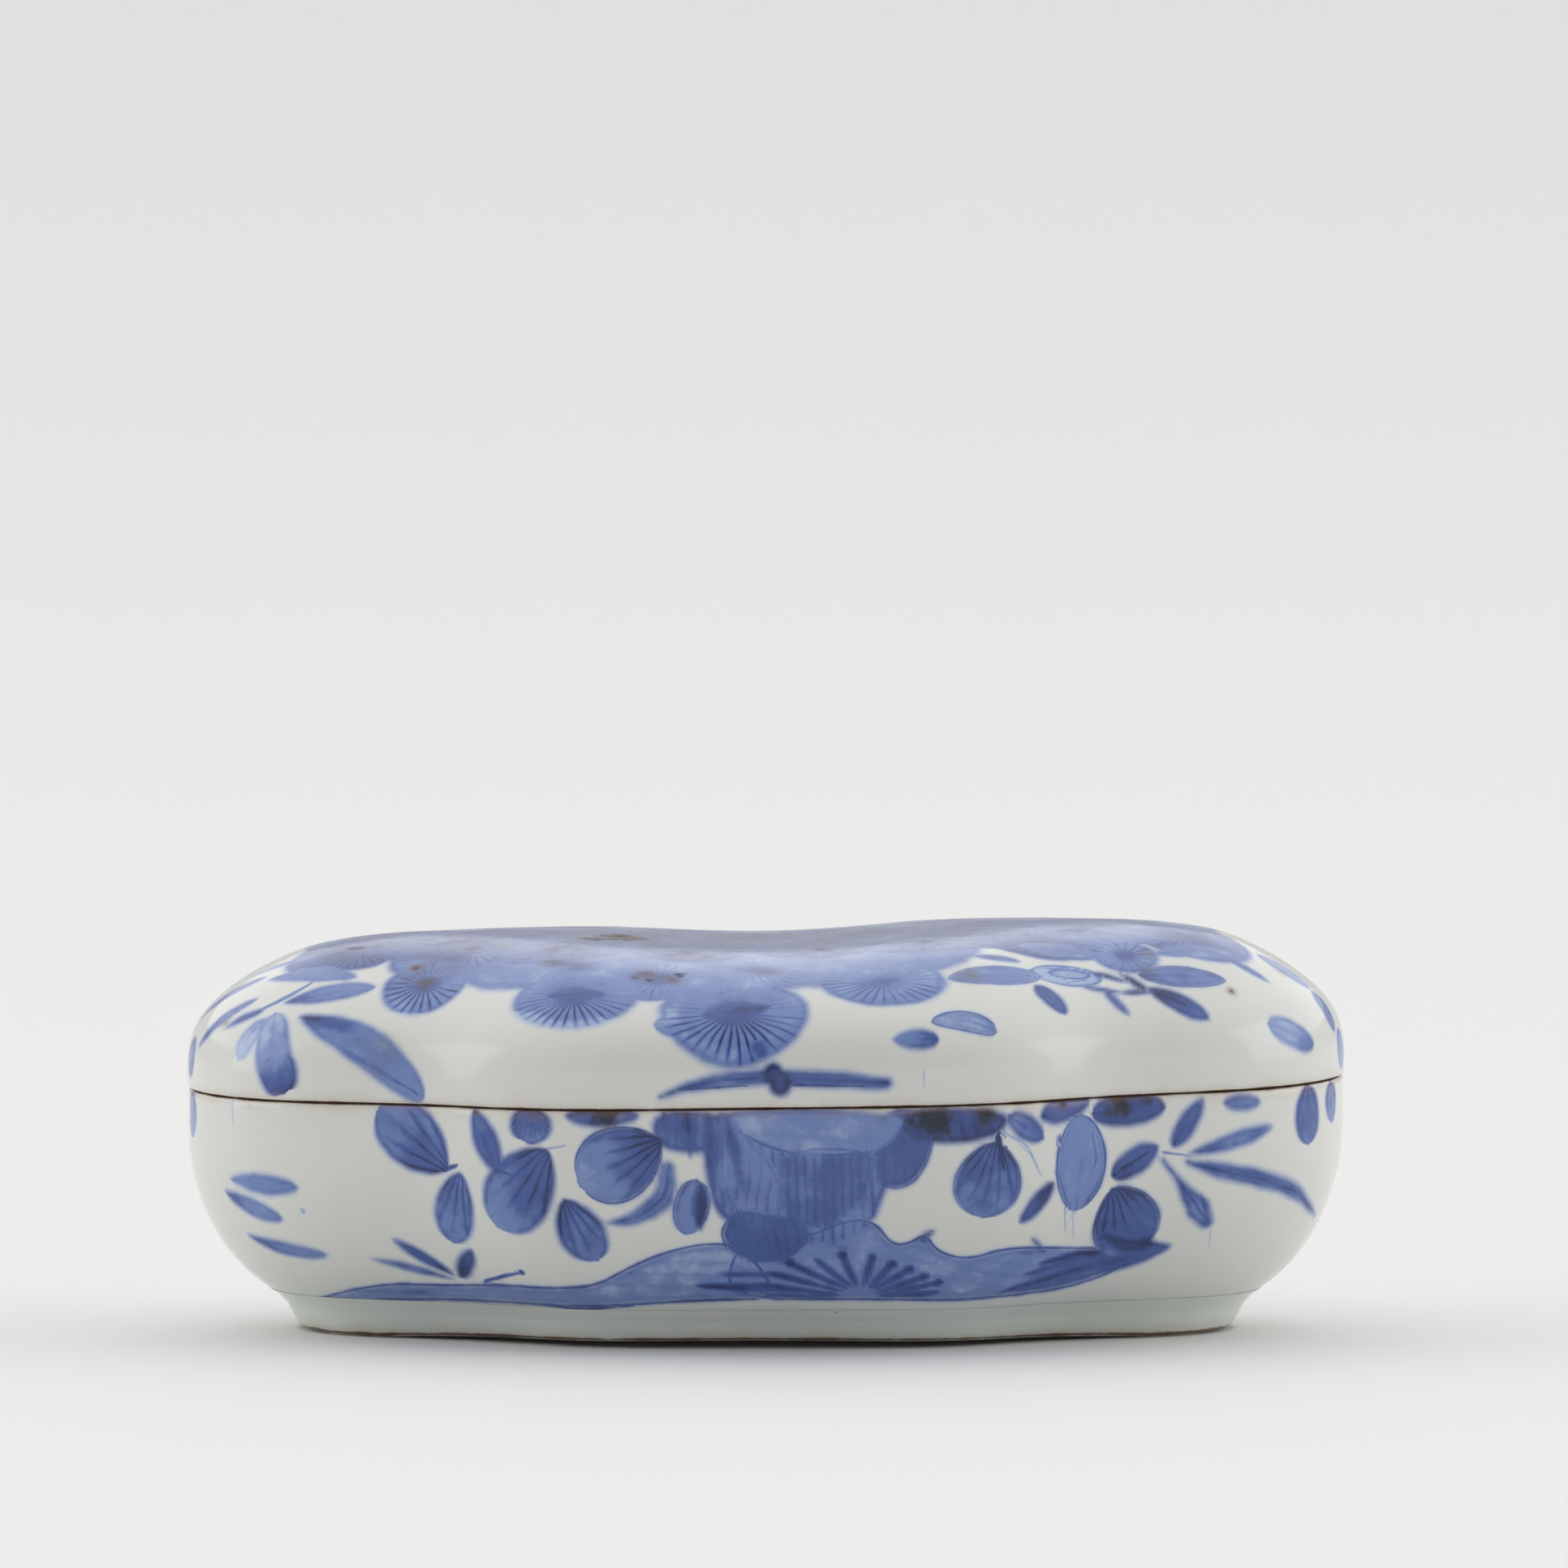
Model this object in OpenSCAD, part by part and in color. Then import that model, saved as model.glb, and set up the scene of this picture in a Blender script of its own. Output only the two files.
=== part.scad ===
// Lobed porcelain box with a lift-off lid.
// The base is a moulded shell with two strips of clay luted to it before firing: the foot ring
// it stands on and the locating rim that keeps the lid in place. The lid lifts straight off.
// Frame: +X along the box, +Y to the back, +Z up, origin on the table under the middle.

/* [Overall] */
// Length of the base at its rim
length = 140; // [115:1:175]
// Depth of the base at its rim, front to back
depth = 86; // [70:1:108]
// Height of the rim above the table, at the middle of the box
base_height = 30; // [24:0.5:38]
// Height of the lid above the rim, at the middle of the box
lid_height = 17.2; // [14:0.2:24]
// How much higher the rim stands at the right end than at the left, as the kiln left it
kiln_lift = 1.7; // [0:0.1:3]

/* [Lobed plan] */
// Depth of the four soft notches between the lobes
notch_depth = 4.8; // [0:0.1:8]
// Direction of the notches, as an angle of the ellipse that the plan starts from
notch_angle = 48.5; // [40:0.5:58]
// Spread of each notch, as an angle
notch_spread = 14; // [11:0.5:24]
// How much the front and back lobes are flattened
side_flat = 2.2; // [0:0.1:6]
// Spread of the flattened stretch, as an angle
side_spread = 15; // [10:0.5:22]

/* [Base] */
// Thickness of the wall, which is also the width of the seat that the lid rests on
wall = 3.2; // [2.4:0.1:4.5]
// Thickness of the floor
floor_thick = 3.4; // [2.5:0.1:5]
// Height of the upright stretch of wall under the rim
upright = 5; // [3.5:0.5:8]
// How far in the belly's curve would reach at its lowest
belly_reach = 18; // [15:0.5:24]
// How far in the inner curve of the belly ends, where the flat floor begins
hollow_reach = 15; // [12:0.5:18]
// Easing of the outer edges at the seam
edge_ease = 0.5; // [0.2:0.1:0.8]

/* [Foot ring] */
// Height of the foot ring
foot_height = 4; // [2.5:0.1:6]
// Inset of the foot ring's top from the widest part of the base
foot_inset = 11.7; // [9:0.1:15]
// How much further in the foot ring's outside is at the table
foot_taper = 1.4; // [0:0.1:2.5]
// Thickness of the foot ring at the table
foot_thick = 3; // [2:0.1:4]

/* [Locating rim] */
// Height of the locating rim above the seat
locator_height = 3.2; // [2:0.1:5]
// How far the locating rim is luted down inside the wall
locator_depth = 4.2; // [3:0.1:6]
// Thickness of the locating rim
locator_thick = 1.8; // [1.2:0.1:2.6]
// Gap all round between the locating rim and the lid
locator_gap = 0.35; // [0.2:0.05:0.8]
// Gap between the lid and its seat
seat_gap = 0.1; // [0.05:0.05:0.3]

/* [Lid] */
// Thickness of the crown
crown_thick = 3.2; // [2.4:0.1:4.5]
// How far the lid stands proud of the base at the seam
lid_proud = 0.2; // [0:0.05:0.5]
// Height of the upright stretch of the lid's wall
lid_upright = 2; // [1:0.5:4]
// How far in the curve of the shoulder reaches before the crown is level
dome_reach = 38; // [30:1:42]
// Fullness of the shoulder: 2 is an ellipse, and more is squarer
dome_fullness = 2.6; // [2:0.1:3]
// Extra height of the left end's swelling over the middle of the crown
swell_left = 1.5; // [0:0.1:3]
// Extra height of the right end's swelling over the middle of the crown
swell_right = 2.0; // [0:0.1:3]
// Distance from the middle of the box to the top of each swelling
swell_at = 35; // [26:1:42]

/* [Hidden] */

porcelain = [0.88, 0.90, 0.89];
bare_clay = [0.80, 0.72, 0.62];

sides = 80;              // corners of each ring of a shell
ease_steps = [0, 45, 90];
belly_steps = 9;
shoulder_steps = 8;
shoulder_turn = 56;      // angle on the dome's curve where the rings change from offsets to scaled copies
crown_scales = [0.86, 0.7, 0.52, 0.34, 0.16];
lute_step = 0.8;         // the inner wall stays upright for this much below the locating rim
swell_start = 1;         // the swellings fade in from this far inside the edge
swell_fade = 16;         // and are full after this much more

half_length = length / 2;
half_depth = depth / 2 + side_flat;
rim_slope = kiln_lift / length;
lid_wall = wall - locator_gap;
lid_base = base_height + seat_gap;
belly_top = base_height - upright;
foot_turn = acos(1 - foot_inset / belly_reach);   // angle of the belly's curve where it meets the foot
belly_drop = (belly_top - foot_height) / sin(foot_turn);
floor_top = foot_height + floor_thick;
hollow_top = base_height - locator_depth - lute_step;
dome_rise = lid_height - seat_gap - lid_upright;

// ---- the plan of the rim ----

function turn_between(a, b) = (a - b + 540) % 360 - 180;
function bell(a, at, spread) = exp(-pow(turn_between(a, at) / spread, 2));
function total(values, i = 0) = i == len(values) ? 0 : values[i] + total(values, i + 1);

// How far the rim is pressed in from the ellipse at angle a.
function pressed_in(a) =
    notch_depth * total([for (at = [notch_angle, 180 - notch_angle, 180 + notch_angle, 360 - notch_angle])
        bell(a, at, notch_spread)])
    + side_flat * total([for (at = [90, 270]) bell(a, at, side_spread)]);

function rim_point(a) =
    let (p = [half_length * cos(a), half_depth * sin(a)])
    p * (1 - pressed_in(a) / norm(p));

function outward(a) =
    let (d = rim_point(a + 0.5) - rim_point(a - 0.5))
    [d[1], -d[0]] / norm(d);

angles = [for (i = [0 : sides - 1]) 360 * i / sides];
rim_line = [for (a = angles) rim_point(a)];
outward_line = [for (a = angles) outward(a)];

function edge_distance(p) = min([for (q = rim_line) norm(p - q)]);

// ---- rings of points ----

// The kiln lifted the rim at one end: nothing at the foot, all of it at the rim and above.
function lifted(p, z) =
    let (share = max(0, min(1, (z - foot_height) / (base_height - foot_height))))
    [p[0], p[1], z + p[0] * rim_slope * share];

// The plan of the rim moved in by d, at height z.
function ring(d, z) = [for (i = [0 : sides - 1]) lifted(rim_line[i] - d * outward_line[i], z)];

function smooth(t) = let (s = max(0, min(1, t))) s * s * (3 - 2 * s);

// The two end swellings of the crown.
function swelling(p, d) =
    (p[0] > 0 ? swell_right : swell_left)
    * pow(sin(90 * min(1, abs(p[0]) / swell_at)), 2) * smooth((d - swell_start) / swell_fade);

// Height of the dome's curve at distance d from its edge.
function dome_height(d, reach, rise) =
    rise * pow(1 - pow(max(0, 1 - d / reach), dome_fullness), 1 / dome_fullness);

// Rings of a dome that starts at inset d0, from its edge in to its middle.
function dome_rings(d0, reach, rise) =
    let (power = 2 / dome_fullness,
         turns = [for (k = [0 : shoulder_steps]) shoulder_turn * k / shoulder_steps],
         insets = [for (turn = turns) d0 + reach * (1 - pow(cos(turn), power))],
         heights = [for (turn = turns) rise * pow(sin(turn), power)],
         spring = lid_base + lid_upright,
         last = insets[shoulder_steps])
    concat(
        [for (k = [0 : shoulder_steps])
            [for (i = [0 : sides - 1])
                let (p = rim_line[i] - insets[k] * outward_line[i])
                lifted(p, spring + heights[k] + swelling(p, insets[k] - d0))]],
        [for (s = crown_scales)
            [for (i = [0 : sides - 1])
                let (p = s * (rim_line[i] - last * outward_line[i]), d = edge_distance(p) - d0)
                lifted(p, spring + dome_height(d, reach, rise) + swelling(p, d))]]);

// An elliptical curve from the upright wall at height top down and in, as rings at inset d0 and more.
function belly_rings(d0, top, reach, drop, turn_end) =
    [for (k = [1 : belly_steps])
        let (turn = turn_end * k / belly_steps)
        ring(d0 + reach * (1 - cos(turn)), top - drop * sin(turn))];

function reversed(list) = [for (i = [len(list) - 1 : -1 : 0]) list[i]];
function middle_of(points) = [for (k = [0 : 2]) total([for (p = points) p[k]]) / len(points)];

// A solid whose skin runs over the rings in order. Each ring is anticlockwise from above. The skin is
// closed by a cap on the first and the last ring, or by joining those two if the solid is a hoop.
module skinned(rings, hoop = false) {
    n = len(rings);
    m = len(rings[0]);
    points = concat([for (r = rings) each r], hoop ? [] : [middle_of(rings[0]), middle_of(rings[n - 1])]);
    bands = [for (i = [0 : hoop ? n - 1 : n - 2], j = [0 : m - 1])
        let (k = (j + 1) % m, a = i * m + j, b = i * m + k, c = ((i + 1) % n) * m + k, d = ((i + 1) % n) * m + j)
        each [[a, c, b], [a, d, c]]];
    caps = hoop ? [] : [for (j = [0 : m - 1])
        let (k = (j + 1) % m)
        each [[n * m, j, k], [n * m + 1, (n - 1) * m + k, (n - 1) * m + j]]];
    polyhedron(points, concat(bands, caps), convexity = 6);
}

// ---- the pieces ----

// The moulded shell of the base, from the middle of its underside round to the middle of its floor.
module base_shell() {
    color(porcelain)
        skinned(concat(
            reversed(belly_rings(0, belly_top, belly_reach, belly_drop, foot_turn)),
            [ring(0, belly_top)],
            [for (turn = ease_steps)
                ring(edge_ease * (1 - cos(turn)), base_height - edge_ease * (1 - sin(turn)))],
            [ring(wall, base_height), ring(wall, base_height - locator_depth), ring(wall, hollow_top)],
            belly_rings(wall, hollow_top, hollow_reach, hollow_top - floor_top, 90)));
}

// The foot ring, luted under the shell.
module foot_ring() {
    toe = foot_inset + foot_taper;
    inside = toe + foot_thick;
    color(bare_clay)
        skinned(hoop = true, [
            ring(inside, edge_ease), ring(inside - edge_ease, 0), ring(toe + edge_ease, 0), ring(toe, edge_ease),
            ring(foot_inset + foot_taper / 3, foot_height * 0.6), ring(foot_inset, foot_height),
            ring(inside + edge_ease, foot_height)]);
}

// The locating rim, luted inside the wall and standing up inside the lid.
module locating_rim() {
    top = base_height + locator_height;
    lead = wall + locator_gap;
    color(bare_clay)
        skinned(hoop = true, [
            ring(wall, base_height - locator_depth), ring(wall, base_height),
            ring(wall + locator_gap / 2, top - edge_ease), ring(lead + edge_ease, top),
            ring(lead + locator_thick - edge_ease, top), ring(lead + locator_thick, top - edge_ease),
            ring(wall + locator_thick, base_height)]);
}

// The lid, from the middle of its hollow out to its seat and over to the middle of its crown.
module lid() {
    color(porcelain)
        skinned(concat(
            reversed(dome_rings(lid_wall, dome_reach - lid_wall, dome_rise - crown_thick)),
            [ring(lid_wall, lid_base)],
            [for (turn = ease_steps)
                ring(edge_ease * (1 - sin(turn)) - lid_proud, lid_base + edge_ease * (1 - cos(turn)))],
            dome_rings(-lid_proud, dome_reach + lid_proud, dome_rise)));
}

base_shell();
foot_ring();
locating_rim();
lid();
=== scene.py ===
"""Looks of the lobed porcelain box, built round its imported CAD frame.

The base, the foot ring, the locating rim and the lid are drawn out as smooth porcelain shells on the plan
and the profiles of their CAD nodes. The underglaze painting is brushed on to the outer skins motif by
motif and kept there as point attributes, which the glaze reads. Sizes are in millimetres until a shell is
placed, and in metres from then on.
"""

import logging
import math
from dataclasses import dataclass, field, replace
from enum import Enum
from typing import Callable, ClassVar, Iterable, Sequence

import bmesh
import bpy
import numpy as np
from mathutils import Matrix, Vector


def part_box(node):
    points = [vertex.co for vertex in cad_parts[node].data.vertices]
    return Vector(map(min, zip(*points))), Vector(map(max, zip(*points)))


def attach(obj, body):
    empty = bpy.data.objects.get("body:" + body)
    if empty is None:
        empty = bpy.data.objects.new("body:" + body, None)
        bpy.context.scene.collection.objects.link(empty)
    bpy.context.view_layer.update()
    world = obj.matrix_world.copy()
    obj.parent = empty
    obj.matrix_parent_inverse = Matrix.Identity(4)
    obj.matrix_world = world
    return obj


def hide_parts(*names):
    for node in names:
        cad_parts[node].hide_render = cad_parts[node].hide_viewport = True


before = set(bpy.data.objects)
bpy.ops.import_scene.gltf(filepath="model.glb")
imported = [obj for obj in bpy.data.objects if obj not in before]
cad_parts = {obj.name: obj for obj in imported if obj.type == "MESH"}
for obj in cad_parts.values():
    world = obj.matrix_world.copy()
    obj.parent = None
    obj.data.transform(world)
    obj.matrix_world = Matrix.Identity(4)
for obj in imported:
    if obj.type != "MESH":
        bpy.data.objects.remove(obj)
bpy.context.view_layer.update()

logging.basicConfig(level=logging.INFO, format="%(name)s: %(message)s")
log = logging.getLogger("porcelain_box")

MM = 0.001
# Height of the rim at the middle of the box.
RIM_HEIGHT = 30.0
# Run added from a crown's edge to its middle, and how much of it is smoothed.
CROWN_RUN = 40.0
EASED_RUN = 38.0
# Half the width of the line round a motif.
OUTLINE_HALF = 0.24
Place = tuple[float, float]
Colour = tuple[float, float, float, float]


def box_mm(node: str) -> tuple[np.ndarray, np.ndarray]:
    """Lowest and highest corner of a CAD node, in millimetres."""
    low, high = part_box(node)
    return np.array(low) / MM, np.array(high) / MM


def smooth_step(value: np.ndarray, low: float, high: float) -> np.ndarray:
    """0 below low, 1 above high and a smooth slope between them."""
    share = np.clip((value - low) / (high - low), 0.0, 1.0)
    return share * share * (3.0 - 2.0 * share)


def deselect() -> None:
    """Leaves nothing selected, the CAD nodes included."""
    bpy.ops.object.select_all(action="DESELECT")


# ---------------------------------------------------------------- form


@dataclass(frozen=True)
class LobedPlan:
    """The four-lobed outline of the rim, seen from above.

    Attributes:
        length: length of the base over its two end lobes.
        depth: depth over the front and back lobes.
        notch_depth: depth of the four notches between the lobes.
        notch_angle: direction of the notches on the ellipse that the plan starts from.
        notch_spread: spread of each notch, as an angle.
        side_flat: how much the front and back lobes are flattened.
        side_spread: spread of that flattening, as an angle.
    """

    length: float
    depth: float = 86.0
    notch_depth: float = 4.8
    notch_angle: float = 48.5
    notch_spread: float = 14.0
    side_flat: float = 2.2
    side_spread: float = 15.0

    def at(self, angle: np.ndarray) -> np.ndarray:
        """Points of the outline.

        Args:
            angle: angles of the starting ellipse, in degrees.

        Returns:
            One row of x and y for each angle.
        """
        turn = np.radians(angle)
        point = np.stack(
            [self.length / 2 * np.cos(turn), (self.depth / 2 + self.side_flat) * np.sin(turn)], axis=-1
        )
        pressed = np.zeros_like(turn)
        notches = [(c, self.notch_depth, self.notch_spread) for c in self.notch_centres()]
        sides = [(c, self.side_flat, self.side_spread) for c in (90.0, 270.0)]
        for centre, deep, spread in notches + sides:
            away = (angle - centre + 540.0) % 360.0 - 180.0
            pressed += deep * np.exp(-((away / spread) ** 2))
        return point * (1.0 - pressed / np.linalg.norm(point, axis=-1))[..., None]

    def notch_centres(self) -> tuple[float, ...]:
        """Directions of the four notches, in degrees."""
        a = self.notch_angle
        return (a, 180.0 - a, 180.0 + a, 360.0 - a)

    def outline(self, count: int) -> "Outline":
        """The outline as evenly spaced columns.

        Args:
            count: how many columns run round the box.

        Returns:
            The outline's points and outward directions.
        """
        fine = np.linspace(0.0, 360.0, 7201)
        line = self.at(fine)
        run = np.concatenate([[0.0], np.cumsum(np.linalg.norm(np.diff(line, axis=0), axis=1))])
        angle = np.interp(np.arange(count) * run[-1] / count, run, fine)
        step = self.at(angle + 0.25) - self.at(angle - 0.25)
        outward = np.stack([step[:, 1], -step[:, 0]], axis=-1)
        return Outline(self.at(angle), outward / np.linalg.norm(outward, axis=1)[:, None])


@dataclass(frozen=True)
class Outline:
    """Columns round the plan.

    Attributes:
        points: x and y of each column on the rim.
        outward: direction away from the box at each column.
    """

    points: np.ndarray
    outward: np.ndarray

    def moved_in(self, inset: float) -> np.ndarray:
        """The outline moved in by a distance."""
        return self.points - inset * self.outward

    def edge_distance(self, places: np.ndarray) -> np.ndarray:
        """Distance of each place from the rim's outline, in plan."""
        far = np.empty(len(places))
        for start in range(0, len(places), 4000):
            part = places[start : start + 4000]
            gap = np.linalg.norm(part[:, None, :] - self.points[None, :, :], axis=2)
            far[start : start + 4000] = gap.min(axis=1)
        return far


@dataclass(frozen=True)
class Kiln:
    """What the firing did to the shape.

    Attributes:
        lift: how much higher the rim stands at the right end than at the left.
        length: length of the box.
        foot_height: below this height nothing moved.
        rim_height: from this height up all of the lift is there.
    """

    lift: float
    length: float
    foot_height: float
    rim_height: float

    def fire(self, xy: np.ndarray, z: np.ndarray | float) -> np.ndarray:
        """Places of points after the firing, as rows of x, y and z."""
        height = np.broadcast_to(np.asarray(z, float), (len(xy),))
        share = np.clip((height - self.foot_height) / (self.rim_height - self.foot_height), 0.0, 1.0)
        return np.column_stack([xy, height + xy[:, 0] * self.lift / self.length * share])


@dataclass(frozen=True)
class Form:
    """Everything that the four pieces share.

    Attributes:
        outline: the columns round the plan.
        kiln: what the firing did.
        base_height: height of the rim at the middle of the box.
        wall: thickness of the wall of the base.
        edge_ease: radius of an eased edge.
    """

    outline: Outline
    kiln: Kiln
    base_height: float
    wall: float = 3.2
    edge_ease: float = 0.5

    def ring(self, inset: float, z: float) -> np.ndarray:
        """The outline moved in and set at a height, as fired."""
        return self.kiln.fire(self.outline.moved_in(inset), z)

    def rings(
        self, profile: Sequence[Place], spacing: float, run: float, way: float,
        swelling: Callable[[np.ndarray, float], np.ndarray] | None = None,
    ) -> list[tuple[np.ndarray, float]]:
        """Rings along a profile, without its first corner.

        Args:
            profile: corners as inset and height.
            spacing: the widest step wanted.
            run: the run at the first corner.
            way: 1 where the run grows along the profile, and -1 where it falls.
            swelling: extra height for places in plan at an inset.

        Returns:
            Each ring's places and its run.
        """
        made = []
        for inset, z, gone in spaced(profile, spacing)[1:]:
            xy = self.outline.moved_in(inset)
            height = z + (swelling(xy, inset) if swelling else 0.0)
            made.append((self.kiln.fire(xy, height), run + way * gone))
        return made

    def shrunk(
        self, inset: float, z: float, shares: Sequence[float], run: float
    ) -> list[tuple[np.ndarray, float]]:
        """Flat rings that shrink to the middle, or grow from it.

        Args:
            inset: inset of the ring that they are copies of.
            z: their height.
            shares: size of each copy.
            run: the run that they all have.

        Returns:
            Each ring's places and its run.
        """
        whole = self.outline.moved_in(inset)
        return [(self.kiln.fire(whole * share, z), run) for share in shares]


def length_of(profile: Sequence[Place]) -> float:
    """Length of a profile."""
    return float(np.linalg.norm(np.diff(np.array(profile), axis=0), axis=1).sum())


def spaced(profile: Sequence[Place], spacing: float) -> list[tuple[float, float, float]]:
    """Evenly spaced places along a profile.

    Args:
        profile: corners of the profile, as inset and height.
        spacing: the widest step wanted.

    Returns:
        Inset, height and distance gone, from the first corner to the last.
    """
    line = np.array(profile, float)
    run = np.concatenate([[0.0], np.cumsum(np.linalg.norm(np.diff(line, axis=0), axis=1))])
    steps = max(1, math.ceil(run[-1] / spacing))
    at = np.linspace(0.0, run[-1], steps + 1)
    inset, height = (np.interp(at, run, line[:, k]) for k in (0, 1))
    return list(zip(inset.tolist(), height.tolist(), at.tolist()))


def curve(start: float, stop: float, count: int, point: Callable[[float], Place]) -> list[Place]:
    """Places along a curve that is given by a function of one angle in degrees."""
    return [point(math.radians(a)) for a in np.linspace(start, stop, count)]


class Zone(Enum):
    """Which face of a shell a ring of points is on."""

    OUTSIDE = 0.0
    SEAT = 1.0
    INSIDE = 2.0


class DrawnShell:
    """A shell that is drawn out ring by ring in edit mode, from a disc, a hoop or a grid.

    Each point remembers its column, its zone and its run: the distance along the profile from the seam.
    """

    def __init__(self, name: str, columns: int) -> None:
        """Names the shell and sets how many columns run round it."""
        self.name = name
        self.columns = columns

    def _enter(self) -> bmesh.types.BMesh:
        """Goes into edit mode on the new primitive and gives its points their layers."""
        self.shell = bpy.context.object
        self.shell.name = self.shell.data.name = self.name
        bpy.ops.object.mode_set(mode="EDIT")
        bpy.ops.mesh.select_mode(type="EDGE")
        mesh = bmesh.from_edit_mesh(self.shell.data)
        self.layers = [mesh.verts.layers.float.new(n) for n in ("column", "zone", "run")]
        return mesh

    def begin_ring(self, ring: np.ndarray, filled: bool, zone: Zone, run: float = 0.0) -> None:
        """Starts from a circle, as a disc or an open hoop.

        Args:
            ring: place of each column.
            filled: True for a disc.
            zone: the face that the ring is on.
            run: the first ring's run.
        """
        deselect()
        fill = "TRIFAN" if filled else "NOTHING"
        bpy.ops.mesh.primitive_circle_add(vertices=self.columns, radius=1.0, fill_type=fill)
        mesh = self._enter()
        for vert in mesh.verts:
            vert[self.layers[0]] = -1.0
            if vert.co.length > 0.5:
                share = math.atan2(vert.co.y, vert.co.x) / math.tau
                vert[self.layers[0]] = round(share * self.columns) % self.columns
            vert[self.layers[1]] = zone.value
            vert[self.layers[2]] = run
        middle = ring.mean(axis=0)
        places = (ring * MM).tolist()
        for vert in mesh.verts:
            column = int(vert[self.layers[0]])
            vert.co = places[column] if column >= 0 else middle * MM
        self._select_open_edge(mesh)

    def begin_grid(
        self, crown: Callable[[np.ndarray, np.ndarray], np.ndarray], zone: Zone, run: float
    ) -> None:
        """Starts from a square grid whose rings of squares become the rings of a crown.

        Args:
            crown: gives places for columns and shares of the way out from the middle.
            zone: the face that the grid is on.
            run: the run at the crown's edge.
        """
        deselect()
        cells = self.columns // 4
        bpy.ops.mesh.primitive_grid_add(x_subdivisions=cells, y_subdivisions=cells, size=2.0)
        mesh = self._enter()
        flat = np.array([vert.co[:2] for vert in mesh.verts])
        share = np.abs(flat).max(axis=1)
        safe = np.maximum(share, 1e-9)
        u, v = flat[:, 0] / safe, flat[:, 1] / safe
        quarter = np.select([(u >= 1 - 1e-6), (v >= 1 - 1e-6), (u <= -1 + 1e-6)], [0, 1, 2], 3)
        along = np.select([quarter == 0, quarter == 1, quarter == 2], [v, -u, -v], u)
        column = ((quarter + along / 2) / 4 * self.columns) % self.columns
        places = crown(column, share)
        for index, vert in enumerate(mesh.verts):
            vert.co = (places[index] * MM).tolist()
            vert[self.layers[0]] = round(float(column[index])) % self.columns
            vert[self.layers[1]] = zone.value
            vert[self.layers[2]] = run + (1.0 - float(share[index])) * CROWN_RUN
        self._select_open_edge(mesh)

    @staticmethod
    def _select_open_edge(mesh: bmesh.types.BMesh) -> None:
        """Selects the edges that have no face or one face, and nothing else."""
        for face in mesh.faces:
            face.select_set(False)
        for edge in mesh.edges:
            edge.select_set(len(edge.link_faces) < 2)
        mesh.select_flush_mode()

    def draw_out(self, rings: Iterable[tuple[np.ndarray, float]], zone: Zone) -> None:
        """Extrudes the open edge on to each ring in turn.

        Args:
            rings: place of each column on each ring, and the ring's run.
            zone: the face that the rings are on.
        """
        for ring, run in rings:
            bpy.ops.mesh.extrude_region_move(TRANSFORM_OT_translate={"value": (0.0, 0.0, 0.0)})
            mesh = bmesh.from_edit_mesh(self.shell.data)
            layers = [mesh.verts.layers.float[n] for n in ("column", "zone", "run")]
            places = (ring * MM).tolist()
            for vert in mesh.verts:
                if vert.select:
                    vert.co = places[int(vert[layers[0]])]
                    vert[layers[1]] = zone.value
                    vert[layers[2]] = run

    def join_ends(self) -> None:
        """Joins a hoop's last ring to its first."""
        mesh = bmesh.from_edit_mesh(self.shell.data)
        self._select_open_edge(mesh)
        bmesh.update_edit_mesh(self.shell.data)
        bpy.ops.mesh.bridge_edge_loops()

    def close(self) -> None:
        """Draws the open ring together to one point."""
        bpy.ops.mesh.merge(type="CENTER")

    def finish(self, ease_repeats: int = 0) -> bpy.types.Object:
        """Cleans the mesh, shades it smooth and leaves edit mode.

        Args:
            ease_repeats: how often the crown's middle is smoothed.

        Returns:
            The finished object.
        """
        if ease_repeats:
            self._ease_crown(ease_repeats)
        bpy.ops.mesh.select_all(action="SELECT")
        bpy.ops.mesh.remove_doubles(threshold=1e-7)
        bpy.ops.mesh.normals_make_consistent(inside=False)
        bpy.ops.object.mode_set(mode="OBJECT")
        bpy.ops.object.shade_smooth_by_angle(angle=math.radians(60.0))
        log.info("%s: %d triangles", self.name, sum(len(p.vertices) - 2 for p in self.shell.data.polygons))
        return self.shell

    def _ease_crown(self, repeats: int) -> None:
        """Smooths the middle of the crown, where curves from all sides meet."""
        mesh = bmesh.from_edit_mesh(self.shell.data)
        run = mesh.verts.layers.float["run"]
        zone = mesh.verts.layers.float["zone"]
        top = max(vert[run] for vert in mesh.verts)
        bpy.ops.mesh.select_mode(type="VERT")
        for vert in mesh.verts:
            vert.select_set(vert[zone] == Zone.OUTSIDE.value and vert[run] > top - EASED_RUN)
        mesh.select_flush_mode()
        bmesh.update_edit_mesh(self.shell.data)
        bpy.ops.mesh.vertices_smooth(factor=0.5, repeat=repeats)


class Piece:
    """A fired piece of the box: its CAD body and node, its material slot, and how it is dressed."""

    body: ClassVar[str]
    node: ClassVar[str]
    slot: ClassVar[str]

    def build(self) -> bpy.types.Object:
        """Builds the mesh."""
        raise NotImplementedError

    def painting(self) -> "Painting":
        """What is painted on it."""
        return []

    def dress(self, finish: bpy.types.Material) -> bpy.types.Object:
        """Builds the piece, paints and glazes it, and sets it on its body.

        Args:
            finish: the material of its slot.

        Returns:
            The finished piece.
        """
        shell = self.build()
        motifs = self.painting()
        if motifs:
            canvas = Canvas(shell, Eye())
            for side, motif in motifs:
                motif.paint(canvas, side)
            canvas.store()
        shell.data.materials.append(finish)
        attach(shell, self.body)
        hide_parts(self.node)
        log.info("%s rides on %s", shell.name, self.body)
        return shell


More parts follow.
